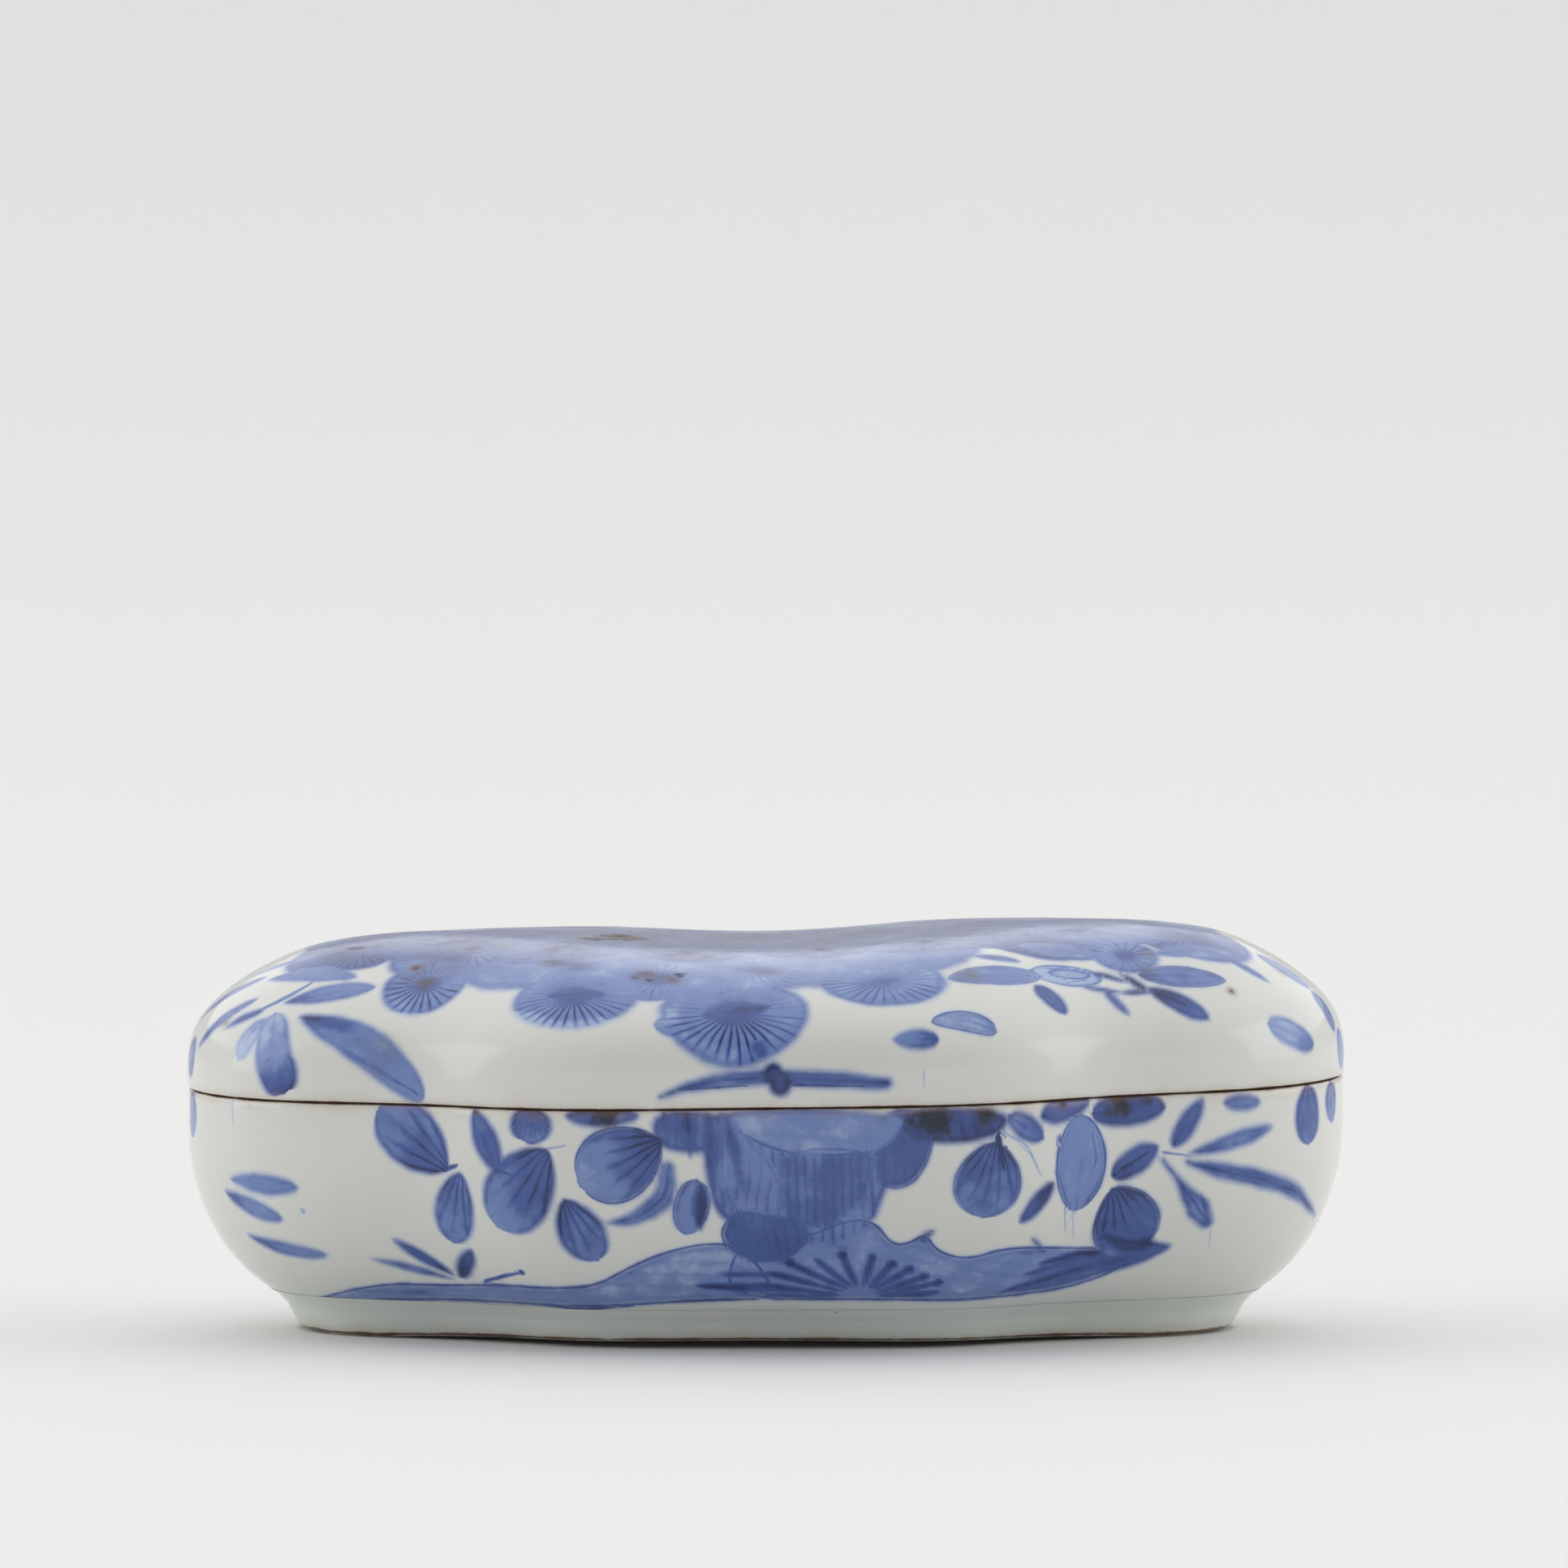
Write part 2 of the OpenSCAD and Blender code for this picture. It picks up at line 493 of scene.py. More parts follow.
@dataclass(frozen=True)
class Dome:
    """The curve of the lid, outside or inside.

    Attributes:
        start: inset from which it springs.
        spring: height from which it springs.
        reach: how far in it goes before it is level.
        rise: how high it goes.
        fullness: 2 is an ellipse, and more is squarer.
        swell: extra height of the left and the right end's swelling.
        swell_at: distance from the middle of the box to the top of each swelling.
        swell_fade: distances from the edge between which the swelling comes in.
        shoulder_turn: angle on the curve from which the crown's rings are scaled copies of each other.
    """

    start: float
    spring: float
    reach: float
    rise: float
    fullness: float = 2.6
    swell: tuple[float, float] = (1.5, 2.0)
    swell_at: float = 35.0
    swell_fade: tuple[float, float] = (1.0, 17.0)
    shoulder_turn: float = 56.0

    def place(self, turn: float) -> Place:
        """Inset and height at an angle on the curve, in radians."""
        power = 2.0 / self.fullness
        inset = self.start + self.reach * (1.0 - max(0.0, math.cos(turn)) ** power)
        return inset, self.spring + self.rise * math.sin(turn) ** power

    def shoulder(self) -> list[Place]:
        """The curve from the crown's edge down to the spring."""
        return curve(self.shoulder_turn, 0.0, 120, self.place)

    def height(self, distance: np.ndarray) -> np.ndarray:
        """Height of the curve at distances from its edge."""
        left = np.clip(1.0 - distance / self.reach, 0.0, 1.0) ** self.fullness
        return self.spring + self.rise * (1.0 - left) ** (1.0 / self.fullness)

    def swelling(self, xy: np.ndarray, inset: float | np.ndarray) -> np.ndarray:
        """Extra height of the two end swellings at places in plan."""
        most = np.where(xy[:, 0] > 0.0, self.swell[1], self.swell[0])
        along = np.sin(np.minimum(1.0, np.abs(xy[:, 0]) / self.swell_at) * math.pi / 2) ** 2
        return most * along * smooth_step(np.asarray(inset) - self.start, *self.swell_fade)

    def crown(self, form: Form, column: np.ndarray, share: np.ndarray) -> np.ndarray:
        """Places on the crown.

        Args:
            form: the shared form.
            column: column of each place, which may lie between two.
            share: how far out each place is, as a share.

        Returns:
            The places, as fired.
        """
        edge = form.outline.moved_in(self.place(math.radians(self.shoulder_turn))[0])
        ends = np.arange(len(edge) + 1)
        round_trip = np.vstack([edge, edge[:1]])
        xy = np.column_stack([np.interp(column, ends, round_trip[:, k]) for k in (0, 1)]) * share[:, None]
        inset = form.outline.edge_distance(xy)
        return form.kiln.fire(xy, self.height(inset - self.start) + self.swelling(xy, inset))


@dataclass
class Lid(Piece):
    """The domed cover.

    Attributes:
        form: the shared form.
        height: height of the crown's middle above the rim.
        crown_thick: thickness of the crown.
        proud: how far the lid stands out over the base.
        upright: height of the upright edge under the dome.
        seat_gap: clearance between the two seats.
        locator_gap: clearance between the lid's wall and the locating rim.
        dome_reach: how far in the dome goes before it is level.
        spacing: the widest step between two rings of the outside.
    """

    body = node = "lid"
    slot = "painted_porcelain"

    form: Form
    height: float
    crown_thick: float = 3.2
    proud: float = 0.2
    upright: float = 2.0
    seat_gap: float = 0.1
    locator_gap: float = 0.35
    dome_reach: float = 38.0
    spacing: float = 0.46

    def build(self) -> bpy.types.Object:
        """Draws the lid out from its crown, down to the seam and up into its hollow."""
        form = self.form
        base = form.base_height + self.seat_gap
        spring = base + self.upright
        rise = self.height - self.seat_gap - self.upright
        inner_start = form.wall - self.locator_gap
        outer = Dome(-self.proud, spring, self.dome_reach + self.proud, rise)
        inner = Dome(inner_start, spring, self.dome_reach - inner_start, rise - self.crown_thick)
        ease = form.edge_ease
        skin = outer.shoulder() + [(-self.proud, base + ease)] + curve(
            0.0, 90.0, 5, lambda a: (ease * (1.0 - math.cos(a)) - self.proud, base + ease * (1.0 - math.sin(a)))
        )
        run = length_of(skin)
        shell = DrawnShell("porcelain_lid", len(form.outline.points))
        shell.begin_grid(lambda column, share: outer.crown(form, column, share), Zone.OUTSIDE, run)
        shell.draw_out(form.rings(skin, self.spacing, run, -1.0, outer.swelling), Zone.OUTSIDE)
        seat = [(ease - self.proud, base), (inner_start, base)]
        shell.draw_out(form.rings(seat, 1.0, 0.0, 1.0), Zone.SEAT)
        hollow = [(inner_start, base)] + inner.shoulder()[::-1]
        shell.draw_out(form.rings(hollow, 2.2, 0.0, 1.0, inner.swelling), Zone.INSIDE)
        columns = np.arange(len(form.outline.points), dtype=float)
        for share in (0.85, 0.65, 0.42, 0.2):
            ring = inner.crown(form, columns, np.full(len(columns), share))
            shell.draw_out([(ring, CROWN_RUN)], Zone.INSIDE)
        shell.close()
        return shell.finish(ease_repeats=24)

    def painting(self) -> "Painting":
        """The pine on the crown, the bamboo and the blossom."""
        return lid_painting()


@dataclass
class BaseShell(Piece):
    """The moulded shell of the base, with its belly, seat and hollow.

    Attributes:
        form: the shared form.
        foot_height: height of the underside above the table.
        floor_thick: thickness of the floor.
        upright: height of the upright part under the rim.
        belly_reach: how far in the belly would go before it is level.
        hollow_reach: how far in the hollow goes before it is level.
        foot_inset: inset of the foot ring's neck.
        locator_depth: how far down the locating rim is luted.
        lute_step: height left under the locating rim before the hollow curves in.
        spacing: the widest step between two rings of the outside.
    """

    body = "base"
    node = "base_shell"
    slot = "painted_porcelain"

    form: Form
    foot_height: float
    floor_thick: float = 3.4
    upright: float = 5.0
    belly_reach: float = 18.0
    hollow_reach: float = 15.0
    foot_inset: float = 11.7
    locator_depth: float = 4.2
    lute_step: float = 0.8
    spacing: float = 0.42

    def belly(self) -> list[Place]:
        """The outside's profile, from the foot up to the seam."""
        top = self.form.base_height - self.upright
        turn = math.degrees(math.acos(1.0 - self.foot_inset / self.belly_reach))
        drop = (top - self.foot_height) / math.sin(math.radians(turn))
        ease = self.form.edge_ease
        rim = self.form.base_height
        return (
            curve(turn, 0.0, 120, lambda a: (self.belly_reach * (1.0 - math.cos(a)), top - drop * math.sin(a)))
            + [(0.0, rim - ease)]
            + curve(0.0, 90.0, 5, lambda a: (ease * (1.0 - math.cos(a)), rim - ease * (1.0 - math.sin(a))))
        )

    def build(self) -> bpy.types.Object:
        """Draws the shell out from the middle of its underside to the middle of its floor."""
        form = self.form
        wall, rim = form.wall, form.base_height
        skin = self.belly()
        run = length_of(skin)
        flat = self.foot_inset + 4.0
        shell = DrawnShell("porcelain_base", len(form.outline.points))
        first, *grown = form.shrunk(flat, self.foot_height, (0.25, 0.5, 0.75, 1.0), run)
        shell.begin_ring(first[0], True, Zone.INSIDE, run)
        shell.draw_out(grown, Zone.INSIDE)
        under = [(flat, self.foot_height), (self.foot_inset, self.foot_height)]
        shell.draw_out(form.rings(under, 1.5, run, 0.0), Zone.OUTSIDE)
        shell.draw_out(form.rings(skin, self.spacing, run, -1.0), Zone.OUTSIDE)
        shell.draw_out(form.rings([(form.edge_ease, rim), (wall, rim)], 1.0, 0.0, 1.0), Zone.SEAT)
        floor = self.foot_height + self.floor_thick
        top = rim - self.locator_depth - self.lute_step
        deep, reach = top - floor, self.hollow_reach
        hollow = [(wall, rim)] + curve(
            0.0, 90.0, 60, lambda a: (wall + reach * (1.0 - math.cos(a)), top - deep * math.sin(a))
        )
        shell.draw_out(form.rings(hollow, 1.6, 0.0, 1.0), Zone.INSIDE)
        shell.draw_out(form.shrunk(wall + reach, floor, (0.75, 0.5, 0.25), CROWN_RUN), Zone.INSIDE)
        shell.close()
        return shell.finish()

    def painting(self) -> "Painting":
        """The garden on the belly."""
        return base_painting()


@dataclass
class FootRing(Piece):
    """The foot ring: a strip luted under the shell, eased into the belly and sprung a little in the kiln.

    Attributes:
        form: the shared form.
        height: height of the ring.
        inset: inset of its neck.
        taper: how much further in its toe is.
        thick: its thickness at the toe.
        arch: how far the standing edge is lifted off the table at the middle of its long sides.
        arch_reach: distance along the box at which it is back on the table.
    """

    body = "base"
    node = "foot_ring"
    slot = "foot_porcelain"

    form: Form
    height: float
    inset: float = 11.7
    taper: float = 1.4
    thick: float = 3.0
    arch: float = 0.9
    arch_reach: float = 46.0

    def build(self) -> bpy.types.Object:
        """Draws the ring out round its section, and springs its standing edge."""
        toe = self.inset + self.taper
        inside = toe + self.thick
        ease = self.form.edge_ease
        neck, top = self.inset, self.height
        section = [
            (inside + ease, top), (inside, ease), (inside - ease, 0.0), (toe + 1.1, 0.0), (toe + 0.35, 0.5),
            (toe - 0.05, 1.15), (neck + 0.75, 2.2), (neck + 0.2, 3.2), (neck - 0.7, 4.12), (neck - 1.9, 5.0),
            (neck - 1.0, 4.65), (neck, 4.15), (neck + 0.6, top),
        ]
        shell = DrawnShell("porcelain_foot", len(self.form.outline.points))
        rings = [(self._sprung(inset, z), z) for inset, z, _ in spaced(section, 0.4)]
        shell.begin_ring(rings[0][0], False, Zone.OUTSIDE, rings[0][1])
        shell.draw_out(rings[1:], Zone.OUTSIDE)
        shell.join_ends()
        return shell.finish()

    def _sprung(self, inset: float, z: float) -> np.ndarray:
        """A ring of the foot, lifted at the middle of its long sides towards the table."""
        ring = self.form.ring(inset, z)
        share = np.clip(1.0 - (ring[:, 0] / self.arch_reach) ** 2, 0.0, 1.0) ** 0.7
        ring[:, 2] += self.arch * share * np.clip(1.0 - z / self.height, 0.0, 1.0)
        return ring


@dataclass
class LocatingRim(Piece):
    """The inner flange that keeps the lid in place.

    Attributes:
        form: the shared form.
        height: how far it stands up over the rim.
        depth: how far down it is luted to the wall.
        thick: its thickness.
        gap: how far it leans in from the wall at its top.
    """

    body = "base"
    node = "locating_rim"
    slot = "bare_porcelain"

    form: Form
    height: float = 3.2
    depth: float = 4.2
    thick: float = 1.8
    gap: float = 0.35

    def build(self) -> bpy.types.Object:
        """Draws the rim out round its section."""
        wall, rim, ease = self.form.wall, self.form.base_height, self.form.edge_ease
        top = rim + self.height
        lead = wall + self.gap
        thick, root, soft = self.thick, rim - self.depth, ease * 0.3
        section = [
            (wall + thick - 0.9, root), (wall, root), (wall, rim), (wall + self.gap / 2, top - ease),
            (lead + soft, top - soft), (lead + ease, top), (lead + thick - ease, top),
            (lead + thick - soft, top - soft), (lead + thick, top - ease), (wall + thick, rim),
            (wall + thick - 0.2, root + 1.0),
        ]
        shell = DrawnShell("porcelain_locating_rim", len(self.form.outline.points))
        rings = [(self.form.ring(inset, z), top - z) for inset, z, _ in spaced(section, 0.7)]
        shell.begin_ring(rings[0][0], False, Zone.SEAT, rings[0][1])
        shell.draw_out(rings[1:], Zone.SEAT)
        shell.join_ends()
        return shell.finish()


# ---------------------------------------------------------------- painting


class Side(Enum):
    """Where the painter looks from while drawing a motif."""

    FRONT = 0.0
    RIGHT = 90.0
    BACK = 180.0
    LEFT = 270.0
    TOP = 360.0


@dataclass(frozen=True)
class Eye:
    """The painter's eye, level with the middle of each side and a little above the box.

    A place on a side's drawing is where the line from the eye to it crosses the upright plane through the
    middle of the box: how far to the right, and how high above the table.

    Attributes:
        distance: distance of the eye from that plane.
        height: its height above the table.
    """

    distance: float = 3290.0
    height: float = 296.0

    def look(self, points: np.ndarray, side: Side) -> np.ndarray:
        """Drawing places of points.

        Args:
            points: rows of x, y and z.
            side: the side that is looked at.

        Returns:
            Rows of x and height on the drawing, and the distance behind its plane.
        """
        if side is Side.TOP:
            return np.column_stack([points[:, 0], points[:, 1], -points[:, 2]])
        turn = math.radians(side.value)
        across = points[:, 0] * math.cos(turn) + points[:, 1] * math.sin(turn)
        behind = -points[:, 0] * math.sin(turn) + points[:, 1] * math.cos(turn)
        near = self.distance / (self.distance + behind)
        return np.column_stack([across * near, self.height + (points[:, 2] - self.height) * near, behind])

    def facing(self, normals: np.ndarray, side: Side) -> np.ndarray:
        """How squarely points face the eye, from -1 to 1."""
        if side is Side.TOP:
            return normals[:, 2]
        turn = math.radians(side.value)
        tilt = math.atan2(self.height, self.distance)
        toward = np.array([math.sin(turn) * math.cos(tilt), -math.cos(turn) * math.cos(tilt), math.sin(tilt)])
        return normals @ toward


class Canvas:
    """The outer skin of a shell, with what the brush has left on each of its points.

    The layers are wash, the distance inside (negative) or outside the nearest wash; tone, its strength;
    vein and vein_force, the count of veins passed and how strong they are; line, the distance outside the
    nearest thin line, with line_side, line_half and line_tone, the way across it, half its width and its
    strength; heap, where the cobalt was laid on too thick; and rust, iron stains.
    """

    FAR = 9.0
    LAYERS = {
        "wash": FAR, "tone": 0.0, "vein": 0.0, "vein_force": 0.0,
        "line": FAR, "line_side": FAR, "line_half": 0.0, "line_tone": 0.0, "heap": 0.0, "rust": 0.0,
    }

    def __init__(self, shell: bpy.types.Object, eye: Eye) -> None:
        """Reads the shell's points and picks those of its outside."""
        mesh = shell.data
        count = len(mesh.vertices)
        flat = np.empty(count * 3)
        mesh.vertices.foreach_get("co", flat)
        points = flat.reshape(-1, 3) / MM
        mesh.vertex_normals.foreach_get("vector", flat)
        zone = np.empty(count)
        mesh.attributes["zone"].data.foreach_get("value", zone)
        self.mesh = mesh
        self.skin = np.flatnonzero(zone < Zone.SEAT.value - 0.5)
        self.points = points[self.skin]
        self.normals = flat.reshape(-1, 3)[self.skin]
        self.layers = {name: np.full(len(self.skin), start) for name, start in self.LAYERS.items()}
        self.views = {side: eye.look(self.points, side) for side in Side}
        self.turned = {side: eye.facing(self.normals, side) for side in Side}

    def spot(self, side: Side, place: Place) -> tuple[np.ndarray, np.ndarray]:
        """Point and normal of the skin at a place on a side's drawing."""
        view = self.views[side]
        off = (view[:, 0] - place[0]) ** 2 + (view[:, 1] - place[1]) ** 2
        off = off + np.where(self.turned[side] > 0.02, 0.0, 1e6)
        near = np.flatnonzero(off <= off.min() + 0.5)
        first = near[np.argmin(view[near, 2])]
        near = near[np.linalg.norm(self.points[near] - self.points[first], axis=1) < 2.5]
        weight = (1.0 / (off[near] + 0.02))[:, None]
        normal = (self.normals[near] * weight).sum(axis=0)
        return (self.points[near] * weight).sum(axis=0) / weight.sum(), normal / np.linalg.norm(normal)

    def near(self, middle: np.ndarray, radius: float, normal: np.ndarray | None = None) -> np.ndarray:
        """Indices of the points within a radius, on the same face as a normal."""
        close = ((self.points - middle) ** 2).sum(axis=1) < radius * radius
        if normal is not None:
            close &= self.normals @ normal > 0.1
        return np.flatnonzero(close)

    def lay_wash(
        self, index: np.ndarray, depth: np.ndarray, tone: np.ndarray | float,
        vein: np.ndarray | float = 0.0, force: np.ndarray | float = 0.0, deepen: bool = False,
    ) -> None:
        """Lays a wash over what is there, softly where it crosses an older one.

        Args:
            index: the points it may touch.
            depth: distance outside its edge, negative inside.
            tone: its strength.
            vein: count of veins passed.
            force: how strong the veins are.
            deepen: True for a wash that never thins the one under it.
        """
        older = self.layers["wash"][index]
        over = older < 0.1
        share = np.where(over, smooth_step(-depth, -0.4, 0.4), 1.0 * ((depth < 0.35) | (depth < older)))
        was = self.layers["tone"][index]
        wanted = np.maximum(tone, was) if deepen else tone
        change = np.where(over | (not deepen), share, 1.0 * (share > 0))
        self.layers["tone"][index] = was + (wanted - was) * change
        newer = share > 0.5
        fade = np.abs(2.0 * share - 1.0)
        veined = self.layers["vein_force"][index]
        self.layers["vein_force"][index] = np.where(newer, force * fade, veined * fade)
        self.layers["vein"][index] = np.where(newer, vein, self.layers["vein"][index])
        self.layers["wash"][index] = np.minimum(older, depth)

    def lay_line(
        self, index: np.ndarray, side_way: np.ndarray, half: np.ndarray | float, tone: float
    ) -> None:
        """Lays a thin line.

        Args:
            index: the points it may touch.
            side_way: distance from its middle, negative on one side of it.
            half: half its width.
            tone: its strength.
        """
        depth = np.abs(side_way) - half
        own = depth < self.layers["line"][index]
        chosen = index[own]
        laid = {"line": depth, "line_side": side_way, "line_half": half, "line_tone": tone}
        for name, value in laid.items():
            self.layers[name][chosen] = np.broadcast_to(value, depth.shape)[own]

    def stain(self, layer: str, middle: np.ndarray, radius: float, force: float) -> None:
        """Leaves a soft stain in the heap or the rust layer."""
        index = self.near(middle, radius * 2.5)
        far = np.linalg.norm(self.points[index] - middle, axis=1) / radius
        self.layers[layer][index] = np.maximum(self.layers[layer][index], force * np.exp(-(far**2)))

    def store(self) -> None:
        """Keeps the layers as point attributes of the shell."""
        whole = np.empty(len(self.mesh.vertices))
        for name, values in self.layers.items():
            whole[:] = self.LAYERS[name]
            whole[self.skin] = values
            self.mesh.attributes.new(name, "FLOAT", "POINT").data.foreach_set("value", whole)


@dataclass(frozen=True)
class Petal:
    """A leaf or a petal, laid with one loaded brush from its heel to its tip.

    Attributes:
        heel: where the brush went down.
        tip: where it left.
        width: its greatest width, on the surface.
        tones: strength at the heel and at the tip.
        waist: where it is widest: under 1 is nearer to the heel.
        blunt: shape of its tip: 0.5 is round and 1 is pointed.
        veins: how many veins run out from the heel.
        force: strength of the veins.
        outline: strength of the thin line round it, or 0 for none.
        bend: sideways bow, as a share of its length.
    """

    heel: Place
    tip: Place
    width: float
    tones: tuple[float, float] = (0.5, 0.42)
    waist: float = 0.9
    blunt: float = 0.62
    veins: float = 3.0
    force: float = 0.16
    outline: float = 0.0
    bend: float = 0.0

    def paint(self, canvas: Canvas, side: Side) -> None:
        """Brushes the petal on to the canvas."""
        start, normal_a = canvas.spot(side, self.heel)
        stop, normal_b = canvas.spot(side, self.tip)
        length = float(np.linalg.norm(stop - start))
        along = (stop - start) / length
        normal = normal_a + normal_b
        normal = normal - along * (normal @ along)
        normal = normal / np.linalg.norm(normal)
        across = np.cross(normal, along)
        index = canvas.near((start + stop) / 2, length / 2 + self.width + 1.0, normal)
        reach = canvas.points[index] - start
        u = reach @ along
        share = np.clip(u / length, 0.0, 1.0)
        v = reach @ across - self.bend * length * np.sin(share * math.pi)
        widest = 0.5 ** (1.0 / self.waist)
        heel_blunt = self.blunt * widest / (1.0 - widest)
        form = share**heel_blunt * (1.0 - share) ** self.blunt
        half = self.width / 2 * form / (widest**heel_blunt * (1.0 - widest) ** self.blunt)
        past = u - share * length
        depth = np.hypot(past, np.maximum(np.abs(v) - half, 0.0)) + np.minimum(np.abs(v) - half, 0.0)
        tone = self.tones[0] + (self.tones[1] - self.tones[0]) * share
        fan = np.arctan2(v, u + 0.12 * length) * self.veins / math.pi
        canvas.lay_wash(index, depth, tone, fan * 2.0, self.force * (1.0 - share) ** 1.2)
        if self.outline:
            canvas.lay_line(index, depth + 0.25, OUTLINE_HALF, self.outline)


@dataclass(frozen=True)
class PineFan:
    """A cluster of pine needles round a hub, seen as a wheel.

    Attributes:
        hub: where the needles meet.
        reach: half width along the surface's level direction, and half height up the slope.
        needles: how many needles go round.
        tone: strength of the wash under them.
        force: strength of the needles.
        core: strength of the dark hub, or 0 for none.
        rim: how much of the wash is left at its rim, as a share.
        top: how much of the needles' strength is left above the hub, as a share.
    """

    hub: Place
    reach: tuple[float, float]
    needles: int = 28
    tone: float = 0.34
    force: float = 0.5
    core: float = 0.75
    rim: float = 0.1
    top: float = 1.0

    def paint(self, canvas: Canvas, side: Side) -> None:
        """Brushes the fan on to the canvas."""
        middle, normal = canvas.spot(side, self.hub)
        up = np.array([0.0, 0.0, 1.0]) if side is not Side.TOP else np.array([0.0, 1.0, 0.0])
        level = np.cross(up, normal)
        if np.linalg.norm(level) < 0.2:
            level = np.array([1.0, 0.0, 0.0])
        level = level / np.linalg.norm(level)
        slope = np.cross(normal, level)
        index = canvas.near(middle, max(self.reach) * 1.25, normal)
        reach = canvas.points[index] - middle
        a, b = reach @ level / self.reach[0], reach @ slope / self.reach[1]
        far = np.hypot(a, b)
        turn = np.arctan2(b, a) * self.needles / math.tau
        depth = (far - 1.0) * min(self.reach)
        needle = smooth_step(far, 0.12, 0.45) * (1.0 - 0.85 * smooth_step(far, 0.7, 1.0))
        needle = needle * (1.0 - (1.0 - self.top) * smooth_step(b, -0.25, 0.35))
        dark = self.core * (1.0 - smooth_step(far, 0.0, 0.55))
        tone = self.tone * (1.0 - (1.0 - self.rim) * smooth_step(far, 0.62, 1.0)) + (1.0 - self.tone) * dark
        canvas.lay_wash(index, depth, tone, np.abs(turn), self.force * needle, deepen=True)


@dataclass(frozen=True)
class Stroke:
    """A brush stroke through places, as a wash if it is broad and as a line if it is thin.

    Attributes:
        places: where the brush went.
        widths: its width along the way, evenly spaced.
        tone: its strength.
        force: strength of the mark of its hairs.
    """

    places: tuple[Place, ...]
    widths: tuple[float, ...]
    tone: float = 0.7
    force: float = 0.0

    def paint(self, canvas: Canvas, side: Side) -> None:
        """Brushes the stroke on to the canvas."""
        places, widths = self._eased()
        knots = np.array([canvas.spot(side, tuple(p))[0] for p in places])
        middle = knots.mean(axis=0)
        radius = float(np.linalg.norm(knots - middle, axis=1).max()) + max(self.widths) + 1.2
        index = canvas.near(middle, radius)
        points = canvas.points[index]
        depth = np.full(len(index), Canvas.FAR)
        side_way = np.zeros(len(index))
        if len(knots) == 1:
            depth = np.linalg.norm(points - knots[0], axis=1) - widths[0] / 2
        half = np.full(len(index), widths[0] / 2)
        for a, b, wa, wb in zip(knots[:-1], knots[1:], widths[:-1], widths[1:]):
            span = b - a
            share = np.clip((points - a) @ span / max(float(span @ span), 1e-9), 0.0, 1.0)
            off = points - a - share[:, None] * span
            own_half = (wa + (wb - wa) * share) / 2
            away = np.linalg.norm(off, axis=1) - own_half
            better = away < depth
            depth = np.where(better, away, depth)
            half = np.where(better, own_half, half)
            turn = np.cross(span, canvas.normals[index])
            side_way = np.where(better, np.sign((off * turn).sum(axis=1)), side_way)
        if max(self.widths) >= 1.3:
            canvas.lay_wash(index, depth, self.tone, side_way * (depth + half) * 0.7, self.force)
        else:
            canvas.lay_line(index, np.where(side_way < 0, -1.0, 1.0) * (depth + half), half, self.tone)

    def _eased(self) -> tuple[np.ndarray, np.ndarray]:
        """The places and widths on a smooth curve through them."""
        knots = np.array(self.places, float)
        widths = np.interp(np.linspace(0, 1, len(knots)), np.linspace(0, 1, len(self.widths)), self.widths)
        if len(knots) < 3:
            return knots, widths
        padded = np.vstack([2 * knots[0] - knots[1], knots, 2 * knots[-1] - knots[-2]])
        eased, thick = [], []
        for i in range(len(knots) - 1):
            p0, p1, p2, p3 = padded[i : i + 4]
            for t in np.linspace(0, 1, 5)[: None if i == len(knots) - 2 else -1]:
                eased.append(
                    0.5 * (2 * p1 + (p2 - p0) * t + (2 * p0 - 5 * p1 + 4 * p2 - p3) * t**2
                           + (3 * p1 - p0 - 3 * p2 + p3) * t**3)
                )
                thick.append(widths[i] + (widths[i + 1] - widths[i]) * t)
        return np.array(eased), np.array(thick)


